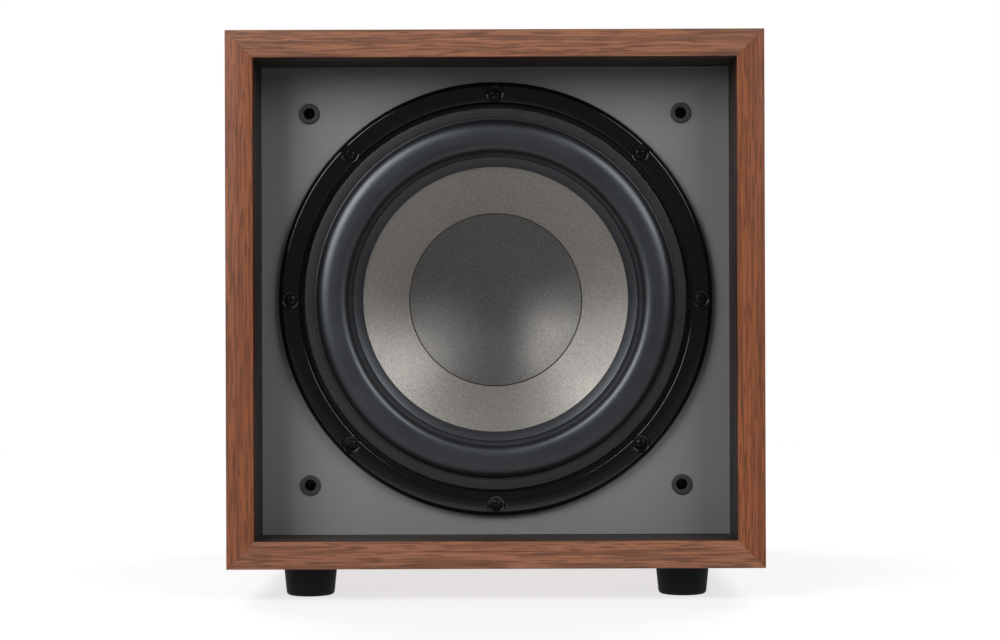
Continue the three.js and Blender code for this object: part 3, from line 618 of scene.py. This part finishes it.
def clamp_ring():
    """The flat ring that holds the surround down, its outer edge roughly cut."""
    outline = [(120.8, -4.1), (127.5, -4.1), (127.5, -6.5, 0.5), (120.8, -6.5, 0.3)]
    mesh = lathe(outline, (0, 0, 0), 5 * FINE)
    for vertex in mesh.vertices:
        across = Vector((vertex.co.x, vertex.co.z))
        if across.length > 126.9 * MM:
            around = across.normalized() * 55
            nick = max(0, noise.noise(Vector((around.x, around.y, 0)))) * 0.9 * MM
            across *= 1 - nick / across.length
            vertex.co.x, vertex.co.z = across
    mesh.transform(Matrix.Translation(DRIVER))
    place_piece("clamp_ring_moulded", mesh, CLAMP_RUBBER, "cabinet", ["clamp_ring"])


clamp_ring()
driver_ring(
    "driver_gasket_foam", [(132.2, -1.6, 0.3), (134.3, -1.6, 0.3), (134.3, -0.3), (132.2, -0.3)],
    CLAMP_RUBBER, replaces=["driver_gasket"],
)


def driver_screws():
    """Eight black pan-head screws, each stopped at its own angle."""
    screw, seat = cross_screw(3.8, 2.3, 18), BAFFLE_Y - 4.3 * MM
    for k, node in enumerate(SCREW_NODES):
        spot = middle(node)
        mesh = moved(screw, (spot.x, seat, spot.z), math.radians(23 + 61 * k))
        place_piece(node + "_pan_head", mesh, SCREW_BLACK, "cabinet", [node])


driver_screws()

CONE_R, CONE_RIM_Y, CONE_SLOPE = 96.0, -1.6, math.tan(math.radians(31))
CAP_R = (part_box("dust_cap")[1].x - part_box("dust_cap")[0].x) / 2 / MM


def cone_front(radius):
    return CONE_RIM_Y + (CONE_R - radius) * CONE_SLOPE


def follow_cone(piece):
    """Bakes a ring's transform into its mesh; the ring is not bent with the cone.
    """
    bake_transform(piece)


def roll_arc(centre, base, half_width, height, start, end, steps):
    """Points over a roll that is squarer than a half circle, most of all on its inner side."""
    made = []
    for angle in np.radians(np.linspace(start, end, steps + 1)):
        across, up = math.cos(angle), abs(math.sin(angle))
        bend = 2 / 2.4 if across > 0 else 2 / 3.4
        reach = math.copysign(abs(across) ** bend, across)
        made.append((centre + half_width * reach, base - height * up**bend))
    return made


def roll_surround():
    """A half roll of rubber between a lip clamped to the frame and a lip bonded to the cone."""
    half_width, centre, base, height, thick = 11.1, 109.0, -3.1, 9.9, 1.2
    outer_foot, lip, shows, groove = -6.0, -3.5, 88.9, -2.8
    outline = [
        (127.4, -2.5), (127.4, -3.9), (120.7, -3.9), (120.7, outer_foot, 0.15),
        (centre + half_width * 0.98, outer_foot, 0.5),
        *roll_arc(centre, base, half_width, height, 19, 180, 48),
        (centre - half_width, groove, 0.25), (95.4, groove, 0.25), (94.9, lip, 0.4),
        (shows, cone_front(shows) - 1.14, 0.4), (shows, cone_front(shows) - 0.3),
        (CONE_R + 0.3, CONE_RIM_Y - 0.3), (centre - half_width + thick, CONE_RIM_Y - 0.3),
        *roll_arc(centre, base, half_width - thick, height - thick, 180, 0, 30),
        (centre + half_width - thick, -2.5),
    ]
    made = finished("surround_roll", lathe(outline, DRIVER, FINE), ROLL_RUBBER, 40)
    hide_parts("surround")
    follow_cone(made)


roll_surround()


def cone_and_cap():
    """A straight-sided metal cone with a dished cap set in it over a dark bead of glue."""
    neck, cap_y = 25.8, cone_front(CAP_R)
    driver_ring(
        "cone_spun",
        [
            (CONE_R, CONE_RIM_Y), (CAP_R, cap_y), (neck, 47), (neck, 51), (neck + 1.1, 51),
            (neck + 1.1, 47.6), (CAP_R + 0.4, cap_y + 1.3), (CONE_R, CONE_RIM_Y + 1.3),
        ],
        CONE_METAL, "cone_assembly", ["cone"],
    )
    dish, thick, steps = 14, 0.8, 40
    rim = cap_y - 0.3 - thick
    shares = [k / steps for k in range(steps + 1)]
    front = [(CAP_R * s, rim + dish * (1 - s * s)) for s in shares]
    back = [(r, y + thick) for r, y in reversed(front)]
    driver_ring(
        "dust_cap_pressed", [*front, *back], CAP_METAL, "cone_assembly", ["dust_cap"]
    )
    bead_in, bead_out = CAP_R - 0.2, CAP_R + 0.55
    bead = [(bead_in, cap_y - 0.3, 0.1), (bead_out, cone_front(bead_out) - 0.9, 0.3)]
    bead += [(bead_out, cone_front(bead_out) - 0.05), (bead_in, cone_front(bead_in) - 0.05)]
    driver_ring("cap_joint_bead", bead, JOINT_GLUE, "cone_assembly")


cone_and_cap()


def spider_disc():
    """A corrugated cloth disc that centres the coil."""
    low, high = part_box("spider")
    level = ((low.y + high.y) / 2 - BAFFLE_Y) / MM - 0.3
    inner, fold_start, fold_end, outer = 25.8, 30, 64, 74.2
    folds, swing, thick = 4, 1.9, 0.6
    front = [(inner, level)]
    for k in range(65):
        share = k / 64
        wave = math.sin(share * folds * 2 * math.pi) * swing * min(1, 8 * share, 8 * (1 - share))
        front.append((fold_start + (fold_end - fold_start) * share, level + wave))
    front.append((outer, level))
    outline = front + [(r, y + thick) for r, y in reversed(front)]
    made = finished("spider_pleated", lathe(outline, DRIVER, 128), SPIDER_CLOTH, 60)
    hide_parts("spider")
    follow_cone(made)


spider_disc()

# ---------------------------------------------------------------- amplifier in the back

PLATE_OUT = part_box("amp_plate")[1].y
PLATE_IN = PLATE_OUT - 3 * MM
SEAT = PLATE_OUT + 0.3 * MM  # the hair's gap under a flange that lies on the plate
TRAVEL = {j["child"]: j["range_m"][1] for j in frame["joints"] if j["type"] == "slide"}


def fine_ring(spot, outline, steps=96):
    """A turned piece on the back, whose outline is [radius, the scene's own Y] in mm."""
    return lathe(outline, (spot.x, 0, spot.z), steps)


def amp_plate():
    """A powder-coated plate with its cut-outs, the posts of the board, and ten screws."""
    low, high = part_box("amp_plate")
    centre = middle("amp_plate")
    spot = centre.xz
    outlines = [rectangle(spot, high.x - low.x, high.z - low.z, 6 * MM)]
    outlines += [circle(middle(n).xz, 3.8 * MM, 32) for n in ("level_knob", "crossover_knob")]
    outlines += [circle(middle(n).xz, 5.4 * MM, 32) for n in ("rca_jack_left", "rca_jack_right")]
    outlines.append(circle(middle("status_led").xz, 2.9 * MM, 24))
    for name in ("phase", "mode"):
        width = TRAVEL[f"{name}_slider"] + 5.2 * MM
        outlines.append(rectangle(middle(f"{name}_switch_body").xz, width, 5.2 * MM, 0.6 * MM))
    outlines.append(rectangle(middle("iec_inlet").xz, 28.2 * MM, 20.8 * MM, 1 * MM))
    outlines.append(rectangle(middle("power_switch_body").xz, 21.8 * MM, 27.8 * MM, 1 * MM))
    plate = prism(outlines, PLATE_IN, PLATE_OUT, 0.35 * MM)
    start = low.y / MM
    rod = [(0, start), (3.5, start, 0.3), (3.5, PLATE_IN / MM), (0, PLATE_IN / MM)]
    side, up = 76 * MM, 104 * MM
    posts = [lathe(rod, (x * side, 0, spot.y + z * up), 24) for x in (-1, 1) for z in (-1, 1)]
    # flat shading keeps the eased rims from tinting the plate's broad faces
    coated = place_piece(
        "amp_plate_coated", joined(plate, *posts), AMP_BLACK, "cabinet", ["amp_plate"]
    )
    for face in coated.data.polygons:
        face.use_smooth = abs(face.normal.y) < 0.999

    low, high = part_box("amp_gasket")
    outer = rectangle(spot, high.x - low.x, high.z - low.z, 6 * MM)
    inner = rectangle(spot, high.x - low.x - 18 * MM, high.z - low.z - 18 * MM, 3 * MM)
    gasket = prism([outer, inner], low.y, high.y, 0.2 * MM)
    place_piece("amp_gasket_foam", gasket, CLAMP_RUBBER, "cabinet", ["amp_gasket"])

    screw = moved(cross_screw(3.4, 2.1, 14, 1.8), (0, 0, 0), math.pi, "Z")
    places = [(x, z) for x in (-94, 94) for z in (-124, -42, 42, 124)] + [(0, -124), (0, 124)]
    for k, (x, z) in enumerate(places):
        turned = moved(screw, (x * MM, PLATE_OUT, spot.y + z * MM), math.radians(41 * k + 12))
        place_piece(f"amp_screw_{k + 1}", turned, SCREW_BLACK, "cabinet")


amp_plate()


def heatsink():
    """Upright fins with rounded tips on a thin base, and two screws between the fins."""
    low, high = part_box("heatsink")
    fin, base, count = 2 * MM, 3 * MM, 13
    pitch = (high.x - low.x - fin) / (count - 1)
    comb = [(low.x, low.y)]
    for k in range(count):
        left = low.x + k * pitch
        comb += [(left, high.y, 0.8 * MM), (left + fin, high.y, 0.8 * MM)]
        if k < count - 1:
            comb += [(left + fin, low.y + base, 1 * MM), (left + pitch, low.y + base, 1 * MM)]
    comb.append((high.x, low.y))
    mesh = prism([[tuple(p) for p in rounded(comb, 5)]], low.z, high.z, 0.3 * MM, axis="Z")
    place_piece("heatsink_finned", mesh, ANODISED, "cabinet", ["heatsink"])
    screw = moved(cross_screw(2.4, 1.6, 3, 1.2), (0, 0, 0), math.pi, "Z")
    places = [(gap, z) for gap in (2, 9) for z in (low.z + 9 * MM, high.z - 9 * MM)]
    for k, (gap, z) in enumerate(places):
        spot = (low.x + fin / 2 + (gap + 0.5) * pitch, low.y + base, z)
        turned = moved(screw, spot, math.radians(29 * k))
        place_piece(f"heatsink_screw_{k + 1}", turned, STEEL, "cabinet")


heatsink()


def fluted(mesh, spot, radius, low_y, high_y, count, depth):
    """Presses grooves that run along Y into the side of a turned piece, between two places."""
    for vertex in mesh.vertices:
        out = Vector((vertex.co.x - spot.x, vertex.co.z - spot.z))
        if abs(out.length - radius) < 0.5 * MM and low_y <= vertex.co.y <= high_y:
            wave = 0.5 - 0.5 * math.cos(count * math.atan2(out.y, out.x))
            out *= 1 - depth * wave / out.length
            vertex.co.x, vertex.co.z = spot.x + out.x, spot.z + out.y
    return mesh


def dial(name):
    """A fluted knob with a white pointer, over a printed ring of eleven ticks."""
    node, body = f"{name}_knob", f"{name}_control"
    spot = middle(node)
    face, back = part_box(node)[1].y / MM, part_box(node)[0].y / MM
    skirt = PLATE_OUT / MM + 0.9
    outline = [(0, back), (3, back, 0.4), (3, skirt), (9.5, skirt, 0.3)]
    outline += [(9.5, skirt + 1.8, 0.6), (8.5, skirt + 2.6, 0.5)]
    outline += [(8.3 - 0.1 * k, skirt + 3.2 + (face - 1 - skirt - 3.2) * k / 4) for k in range(5)]
    outline += [(7.2, face, 0.5), (5.6, face, 0.3), (4.8, face - 0.5, 0.5), (0, face - 0.6)]
    turned = fine_ring(spot, outline, FINE)
    flutes_from, flutes_to = (skirt + 2.9) * MM, (face - 0.9) * MM
    knob = fluted(turned, spot, 8.2 * MM, flutes_from, flutes_to, 24, 0.45 * MM)
    groove_low = (spot.x - 0.5 * MM, (face - 0.9) * MM, spot.z + 2.4 * MM)
    groove_high = (spot.x + 0.5 * MM, (face + 1) * MM, spot.z + 10 * MM)
    groove = block(groove_low, groove_high, 0)
    place_piece(node + "_fluted", carved(knob, groove), KNOB_PLASTIC, body, [node], 40)
    inlay_low = (spot.x - 0.45 * MM, (face - 0.85) * MM, spot.z + 2.45 * MM)
    inlay_high = (spot.x + 0.45 * MM, (face - 0.2) * MM, spot.z + 7.1 * MM)
    inlay = block(inlay_low, inlay_high, 0.08 * MM)
    place_piece(f"{name}_pointer", inlay, PRINT_WHITE, body)
    ticks = []
    for k in range(11):
        long = 2.4 if k % 5 == 0 else 1.5
        bar = block((-0.2 * MM, 0, 11.3 * MM), (0.2 * MM, 0.06 * MM, (11.3 + long) * MM), 0.01 * MM, 1)
        ticks.append(moved(bar, (spot.x, PLATE_OUT, spot.z), math.radians(30 * (k - 5))))
    place_piece(f"{name}_scale", joined(*ticks), PRINT_WHITE, "cabinet")


dial("level")
dial("crossover")


def slide_switch(name):
    """A ribbed thumb-piece that slides in its slot."""
    node = f"{name}_switch"
    low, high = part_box(node)
    grooves = []
    for k in range(-1, 2):
        x = (low.x + high.x) / 2 + k * 1.05 * MM
        groove_low = (x - 0.22 * MM, high.y - 0.7 * MM, low.z - 1 * MM)
        groove_high = (x + 0.22 * MM, high.y + MM, high.z + 1 * MM)
        grooves.append(block(groove_low, groove_high, 0))
    mesh = carved(block(low, high, 0.3 * MM), *grooves)
    place_piece(node + "_ribbed", mesh, BLACK_PLASTIC, f"{name}_slider", [node])


slide_switch("phase")
slide_switch("mode")


def phono_jack(side, colour):
    """A gold barrel with a hexagon nut over a coloured insulating washer."""
    node = f"rca_jack_{side}"
    spot = middle(node)
    low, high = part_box(node)[0].y / MM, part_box(node)[1].y / MM
    flange = PLATE_OUT / MM + 0.3
    barrel = fine_ring(
        spot,
        [
            (0, low), (5, low), (5, flange + 1.5), (4.15, flange + 1.5), (4.15, high, 0.4),
            (3.3, high, 0.2), (3.3, flange + 2), (0, flange + 2),
        ],
    )
    corner_r, bearings = 6 * MM, [math.radians(60 * k + 12) for k in range(6)]
    hexagon = [(spot.x + corner_r * math.cos(a), spot.z + corner_r * math.sin(a)) for a in bearings]
    hole = circle(spot.xz, 4.3 * MM)
    nut = prism([hexagon, hole], (flange + 1.5) * MM, (flange + 3.4) * MM, 0.25 * MM)
    place_piece(node + "_barrel", joined(barrel, nut), GOLD, "cabinet", [node])
    washer_in, washer_out, washer_top = 5.05, 6.4, flange + 1.4
    washer_ring = [(washer_in, flange, 0.1), (washer_out, flange, 0.3)]
    washer_ring += [(washer_out, washer_top, 0.4), (washer_in, washer_top)]
    washer = fine_ring(spot, washer_ring)
    core_in, core_out, core_low, core_top = 1.7, 3.2, flange + 2.1, high - 0.7
    core_ring = [(core_in, core_low), (core_out, core_low)]
    core_ring += [(core_out, core_top, 0.2), (core_in, core_top, 0.2)]
    core = fine_ring(spot, core_ring)
    place_piece(node + "_insulator", joined(washer, core), colour, "cabinet")


phono_jack("left", PRINT_WHITE)
phono_jack("right", PRINT_RED)


def status_led():
    """A round-ended lens."""
    spot, (low, high) = middle("status_led"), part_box("status_led")
    radius = (high.x - low.x) / 2 / MM
    top = high.y / MM - radius
    mesh = fine_ring(spot, [(0, low.y / MM), (radius, low.y / MM), *arc(0, top, radius, 0, 90, 12)], SMALL)
    place_piece("status_led_lens", mesh, LED_BLUE, "cabinet", ["status_led"])


status_led()


def mains_inlet():
    """The keyed three-blade inlet in its flanged shell."""
    spot = middle("iec_inlet")
    low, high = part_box("iec_inlet")
    rim = rectangle(spot.xz, high.x - low.x, high.z - low.z, 2.5 * MM)
    flange = prism([rim], SEAT, high.y, 0.5 * MM)
    rear_low = (spot.x - 13.7 * MM, low.y, spot.z - 10 * MM)
    rear_high = (spot.x + 13.7 * MM, high.y - 1 * MM, spot.z + 10 * MM)
    rear = block(rear_low, rear_high, 0.6 * MM)
    w, h, corner = 12.2 * MM, 8.2 * MM, 4.5 * MM
    keyed = [(-w, -h), (w, -h), (w, h - corner), (w - corner, h), (corner - w, h), (-w, h - corner)]
    outline = [tuple(p) for p in rounded([(spot.x + x, spot.z + z, 0.7 * MM) for x, z in keyed])]
    floor_y = low.y + 3.4 * MM
    cavity = prism([outline], floor_y, high.y + 3 * MM, 0.1 * MM, bevel_steps=0)
    shell = joined(carved(flange, cavity), carved(rear, cavity))
    place_piece("iec_inlet_shell", shell, BLACK_PLASTIC, "cabinet", ["iec_inlet"])
    blades = []
    for x, z in ((-7, -2), (7, -2), (0, 3)):
        corner_low = (spot.x + (x - 1) * MM, floor_y - 1 * MM, spot.z + (z - 2) * MM)
        corner_high = (spot.x + (x + 1) * MM, high.y - 2 * MM, spot.z + (z + 2) * MM)
        blades.append(block(corner_low, corner_high, 0.4 * MM))
    place_piece("iec_inlet_blades", joined(*blades), NICKEL, "cabinet")


mains_inlet()


def power_switch():
    """A rocker with a raised bar and ring on its two faces, in its frame."""
    spot = middle("power_switch_body")
    low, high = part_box("power_switch_body")
    hole = rectangle(spot.xz, 17.6 * MM, 24.4 * MM, 0.8 * MM)
    rim = rectangle(spot.xz, high.x - low.x, high.z - low.z, 1.6 * MM)
    case = rectangle(spot.xz, 21.2 * MM, 27.2 * MM, 1 * MM)
    back_thick = 2 * MM
    flange = prism([rim, hole], SEAT, high.y, 0.4 * MM)
    wall = prism([case, hole], low.y + back_thick, SEAT, 0.1 * MM)
    back = prism([case], low.y, low.y + back_thick, 0.3 * MM)
    place_piece(
        "power_switch_frame", joined(flange, wall, back), BLACK_PLASTIC, "cabinet",
        ["power_switch_body"],
    )
    joint = next(j for j in frame["joints"] if j["name"] == "power_rock")
    pivot = Vector(joint["pos_m"])
    half, reach, valley, cut = 10.8, 5.6, 3.2, 0.6
    outline = [(-4, -4, 0.5), (reach - cut, -half, 0.4), (reach, cut - half, 0.4), (valley, 0, 3.0)]
    outline += [(reach, half - cut, 0.4), (reach - cut, half, 0.4), (-4, 4, 0.5)]
    ring = [tuple(p * MM) for p in rounded(outline)]
    rocker = prism([ring], -8.2 * MM, 8.2 * MM, 0.4 * MM, axis="X")
    slope = math.atan2(reach - valley, half)
    bar = block((-0.5 * MM, 0, -1.9 * MM), (0.5 * MM, 0.12 * MM, 1.9 * MM), 0.03 * MM, 1)
    mark = lathe([(1.2, 0), (1.9, 0), (1.9, 0.12), (1.2, 0.12)], (0, 0, 0), 32)
    mark_y, mark_z = ((reach + valley) / 2 - 0.03) * MM, 5.2 * MM
    on_mark = moved(moved(bar, (0, 0, 0), -slope, "X"), (0, mark_y, mark_z))
    off_mark = moved(moved(mark, (0, 0, 0), slope, "X"), (0, mark_y, -mark_z))
    tilt = math.radians(-8)
    rocker = moved(rocker, pivot, tilt, "X")
    place_piece(
        "power_rocker_moulded", rocker, BLACK_PLASTIC, "rocker", ["power_rocker"]
    )
    marks = moved(joined(on_mark, off_mark), pivot, tilt, "X")
    place_piece("power_rocker_marks", marks, PRINT_WHITE, "rocker")


power_switch()

# ---------------------------------------------------------------- inside the cabinet


def wadding():
    """The thick mat of fibre over the inside, lumpy and a little shrunk from its bounds."""
    node = NODES["acoustic_wadding"]
    holder = bpy.data.objects.new("wadding", node.data.copy())
    bpy.context.scene.collection.objects.link(holder)
    remesh = holder.modifiers.new("remesh", "REMESH")
    remesh.mode, remesh.voxel_size = "VOXEL", 6 * MM
    graph = bpy.context.evaluated_depsgraph_get()
    mesh = bpy.data.meshes.new_from_object(holder.evaluated_get(graph), depsgraph=graph)
    bpy.data.objects.remove(holder)
    mesh.materials.clear()
    outwards = [v.normal.copy() for v in mesh.vertices]
    for vertex, outward in zip(mesh.vertices, outwards):
        lump = 0.5 + 0.5 * noise.noise(vertex.co * 45)
        vertex.co -= outward * lump * 3.5 * MM
    made = place_piece("wadding_mat", mesh, FELT, "cabinet", ["acoustic_wadding"], 180)


wadding()

INNER_FINISHES = {
    "terminal_strip": BLACK_PLASTIC, "voice_coil_former": ALUMINIUM, "voice_coil": COPPER,
    "top_plate": STEEL, "magnet": FERRITE, "back_plate": STEEL, "main_board": BOARD,
    "transformer": TAPE, "transformer_bolt": STEEL,
    "capacitor_1": SLEEVE, "capacitor_2": SLEEVE, "level_pot": STEEL, "crossover_pot": STEEL,
    "phase_switch_body": STEEL, "mode_switch_body": STEEL, "driver_wire_positive": RED_WIRE,
    "driver_wire_negative": BLACK_WIRE,
}
for node_name, finish_material in INNER_FINISHES.items():
    NODES[node_name].data.materials[0] = finish_material

# ---------------------------------------------------------------- floor, lights and camera


def floor():
    """A pale floor that runs out into the white of the background, and throws little light up."""
    mesh = bpy.data.meshes.new("floor")
    ring = circle((0, 0), 9.0, 96)
    mesh.from_pydata([(x, y, 0) for x, y in ring], [], [list(range(len(ring)))])
    made = finished("floor", mesh, None)
    white = (1, 1, 1, 1)
    finish = Finish("floor_white", (0.3, 0.3, 0.3, 1), 0.8, Emission_Color=white, Emission_Strength=0.72)
    distance = finish.add("VectorMath", {0: finish.place}, operation="LENGTH").outputs["Value"]
    far = finish.add("Math", {0: distance, 1: 0.4}, operation="MULTIPLY").outputs[0]
    fade = finish.ramp(far, (0.2, 0.0), (0.8, 1.0))
    glow = finish.add("Emission", {"Color": white, "Strength": 1.0})
    spill = finish.ramp(fade, (0.0, (0.5, 0.5, 0.5, 1)), (0.35, (0.16, 0.16, 0.16, 1)))
    bounce = finish.add("Emission", {"Color": spill, "Strength": 1.0})
    seen = finish.add("LightPath", {}).outputs["Is Camera Ray"]
    shown = finish.add("MixShader", {0: fade})
    blend = finish.add("MixShader", {0: seen})
    finish.tree.links.new(finish.shader.outputs[0], shown.inputs[1])
    finish.tree.links.new(glow.outputs[0], shown.inputs[2])
    finish.tree.links.new(bounce.outputs[0], blend.inputs[1])
    finish.tree.links.new(shown.outputs[0], blend.inputs[2])
    finish.tree.links.new(blend.outputs[0], finish.tree.nodes["Material Output"].inputs[0])
    mesh.materials.append(finish.material)


floor()


def studio():
    """White behind the object, little light from the room, and large soft boxes."""
    world = bpy.data.worlds.new("studio")
    bpy.context.scene.world = world
    world.use_nodes = True
    tree = world.node_tree
    room = tree.nodes["Background"]
    room.inputs[0].default_value, room.inputs[1].default_value = (0.9, 0.95, 1.0, 1), 0.09
    white = tree.nodes.new("ShaderNodeBackground")
    white.inputs[0].default_value, white.inputs[1].default_value = (1, 1, 1, 1), 1.0
    seen = tree.nodes.new("ShaderNodeLightPath")
    blend = tree.nodes.new("ShaderNodeMixShader")
    tree.links.new(seen.outputs["Is Camera Ray"], blend.inputs[0])
    tree.links.new(room.outputs[0], blend.inputs[1])
    tree.links.new(white.outputs[0], blend.inputs[2])
    tree.links.new(blend.outputs[0], tree.nodes["World Output"].inputs[0])

    def softbox(name, azimuth, elevation, distance, width, height, power):
        a, e = math.radians(azimuth), math.radians(elevation)
        away = Vector((math.sin(a) * math.cos(e), -math.cos(a) * math.cos(e), math.sin(e)))
        data = bpy.data.lights.new(name, "AREA")
        data.shape, data.size, data.size_y, data.energy = "RECTANGLE", width, height, power
        lamp = bpy.data.objects.new(name, data)
        lamp.location = CENTRE + away * distance
        lamp.rotation_euler = (-away).to_track_quat("-Z", "Y").to_euler()
        bpy.context.scene.collection.objects.link(lamp)

    softbox("softbox_left", -37, 24, 2.0, 1.0, 1.2, 26)
    softbox("softbox_right", 39, 26, 2.0, 1.0, 1.0, 16)
    softbox("softbox_top", 0, 62, 1.9, 1.6, 0.8, 1.5)
    softbox("softbox_rear_left", -140, 35, 2.2, 1.2, 1.2, 22)
    softbox("softbox_rear_right", 140, 35, 2.2, 1.2, 1.2, 22)


studio()


def camera():
    """Level, in front of the cabinet and a little below its middle."""
    distance, focal_share, height, aside = 1.3, 2.006, 0.167, 0.0062
    data = bpy.data.cameras.new("camera")
    data.sensor_width = 36.0
    data.lens = data.sensor_width * focal_share
    data.shift_x, data.shift_y = -0.005, 0.0253
    view = bpy.data.objects.new("camera", data)
    view.location = (aside, FRONT_Y - distance, height)
    view.rotation_euler = (math.radians(90), math.radians(0.185), 0)
    bpy.context.scene.collection.objects.link(view)
    bpy.context.scene.camera = view
    bpy.context.scene.view_settings.view_transform = "Standard"


camera()
